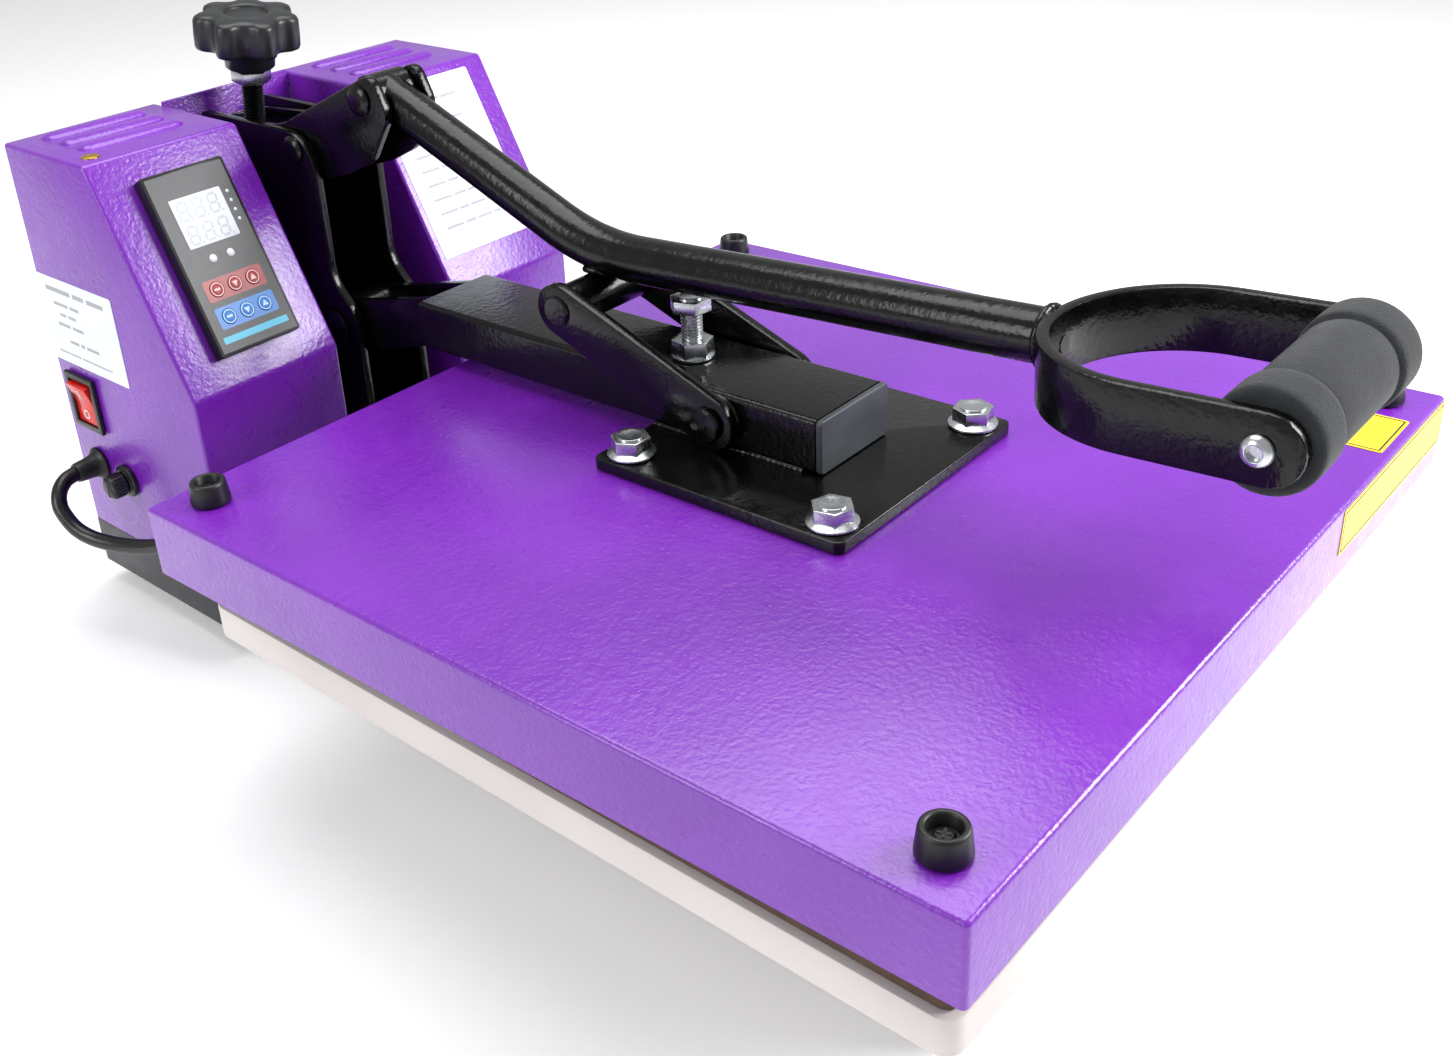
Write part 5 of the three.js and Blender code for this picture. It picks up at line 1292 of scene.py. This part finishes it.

# %% Fuse holder, its cap and glands
FUSE_Y, FUSE_Z, GLAND_Y, GLAND_Z = 360.0, 82.0, 388.0, 84.0
holder = turned([(0, -26), (6.2, -26), (6.2, 0.3), (9.0, 0.3), (9.5, 0.8), (9.4, 2.4), (8.6, 3.0), (7.2, 3.2),
                 (6.9, 3.8), (0, 3.8)])
finish_piece(holder, "fuse_holder_flange", placed(-BOX_OUT, FUSE_Y, FUSE_Z) @ SIDE_TURN, CASE_BLACK, "base",
             ("fuse_holder",))
cap = turned([(0, 4.1), (6.0, 4.1), (6.6, 4.9), (6.6, 11.0), (6.1, 12.6), (4.8, 13.4), (0, 13.5)])
# The cap's slot is a bar just proud of its top in the near-black rubber colour: painted shade where a real
# slot would be dark.
cap_parts = [cap, (slab((-5.2, -0.8, 13.0), (5.2, 0.8, 13.62), 0.1, 1), HERE)]
cap_parts += [(slab((6.3, -0.35, 5.2), (7.0, 0.35, 11.4), 0.15, 1), turn(18 * step, "Z"))
              for step in range(20)]
second_material(cap_parts[1][0])
finish_piece(merged(*cap_parts), "fuse_cap_knurled", placed(-BOX_OUT, FUSE_Y, FUSE_Z) @ SIDE_TURN, KNOB_BLACK,
             "fuse_cap", ("fuse_cap",), extra=(RUBBER,))

GLAND_PROFILE = [(4.0, -5), (6, -5), (6, 0.3), (9.1, 0.3), (9.5, 0.8), (9.4, 1.9), (8.4, 2.6), (7.2, 3.6),
                 (6.5, 5.4), (6.1, 8), (5.8, 12), (5.5, 15), (5.1, 16.1), (4.0, 16.1), (4.0, -5)]
finish_piece(turned(GLAND_PROFILE), "box_cable_gland", placed(-BOX_OUT, GLAND_Y, GLAND_Z) @ SIDE_TURN, RUBBER,
             "base", ("cable_gland",), sharp=45)
REAR_LEAD = UPPER @ moved(LEAD_X, COVER_HALF, LEAD_Z) @ turn(-90, "X")
LEAD_PROFILE = [(0, -4), (5.5, -4), (5.5, 0.3), (8.0, 0.3), (8.5, 0.8), (8.4, 2.2), (6.9, 4), (6.1, 8),
                (5.8, 12), (4.2, 12.3), (0, 12)]
finish_piece(turned(LEAD_PROFILE), "cover_cable_gland", REAR_LEAD, RUBBER, "upper_platen",
             ("cover_gland",), sharp=45)

# %% [markdown]
# ## Base, pan and the rest
# The frame, tray, pan, feet and mains inlet are plain shapes whose solids are already right. Each is
# copied, its doubled points merged, and its edges eased, so that it takes the light like the rest.

# %% Pieces copied from the solid model
refined("base_frame", "base_frame_weldment", BLACK, "base", 0.5)
refined("base_tray", "base_tray_sheet", TRAY_GREY, "base", 0.8)
refined("mains_inlet", "mains_inlet_socket", CASE_BLACK, "base", 0.2)
refined("lower_platen", "lower_platen_pan", PALE, "base", 0.9)
for corner in ("front_left", "front_right", "rear_left", "rear_right"):
    refined(f"foot_{corner}", f"rubber_foot_{corner}", RUBBER, "base", 0.8)
relay = NODES["solid_state_relay"]
relay.data.materials.clear()
relay.data.materials.append(CASE_BLACK)

# %% [markdown]
# ### Silicone pad
# The garment is laid on a slab of brown silicone sponge. It is a soft piece, so its edges are rounder
# than the metal's, and the cut edge shows open cells.

# %% Silicone pad
pad_low, pad_high = (PRESS.inverted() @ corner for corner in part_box("silicone_pad"))
pad_shape = slab(tuple(pad_low), tuple(pad_high), 1.2, 3, upright=5.0)
pad = finish_piece(pad_shape, "silicone_pad_sponge", PRESS, SPONGE, "base", ("silicone_pad",))

# %% [markdown]
# ## Blank stickers on the cover
# Two yellow vinyl stickers mark the hot side at the front right: one on top and one on the edge. They
# are left blank but for a plain border.

# %% Stickers on the cover
def sticker(name, place, width, height):
    """A yellow sticker that rides on the upper platen."""
    made = label(name, place, width, height, border(width, height, 1.6, 0.7), YELLOW_LABEL, BLACK_PRINT)
    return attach(made, "upper_platen")


sticker("top_sticker", UPPER @ moved(151, -191.5, 0), 36, 19)
sticker("front_sticker", UPPER @ moved(142, -COVER_HALF, -12.5) @ turn(90, "X"), 124, 21)

# %% [markdown]
# ## Floor
# A flat pale floor under the press takes its soft shadow.

# %% Floor
floor_shape = bmesh.new()
bmesh.ops.create_grid(floor_shape, x_segments=1, y_segments=1, size=6.0)
floor_mesh = bpy.data.meshes.new("floor")
floor_shape.to_mesh(floor_mesh)
floor_shape.free()
floor = bpy.data.objects.new("floor", floor_mesh)
floor_paper = bpy.data.materials.new("pale_paper")
floor_paper.use_nodes = True
paper_shader = floor_paper.node_tree.nodes["Principled BSDF"]
paper_shader.inputs["Base Color"].default_value = linear("#f4f4f5")
paper_shader.inputs["Roughness"].default_value = 0.9
paper_shader.inputs["Emission Color"].default_value = (1, 1, 1, 1)
paper_shader.inputs["Emission Strength"].default_value = 0.16
floor_mesh.materials.append(floor_paper)
scene.collection.objects.link(floor)
floor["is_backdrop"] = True

# %% [markdown]
# ## Last sizes
# The finished press must stay inside the solid model's box, so both boxes are written down.

# %% Sizes
bpy.context.view_layer.update()
made_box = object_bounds()
print(len(PIECES), "pieces")
for axis, low, high, cad_low, cad_high in zip("xyz", *made_box, *CAD_BOX):
    print(axis, "visual", round(low, 4), round(high, 4), "solid", round(cad_low, 4), round(cad_high, 4))
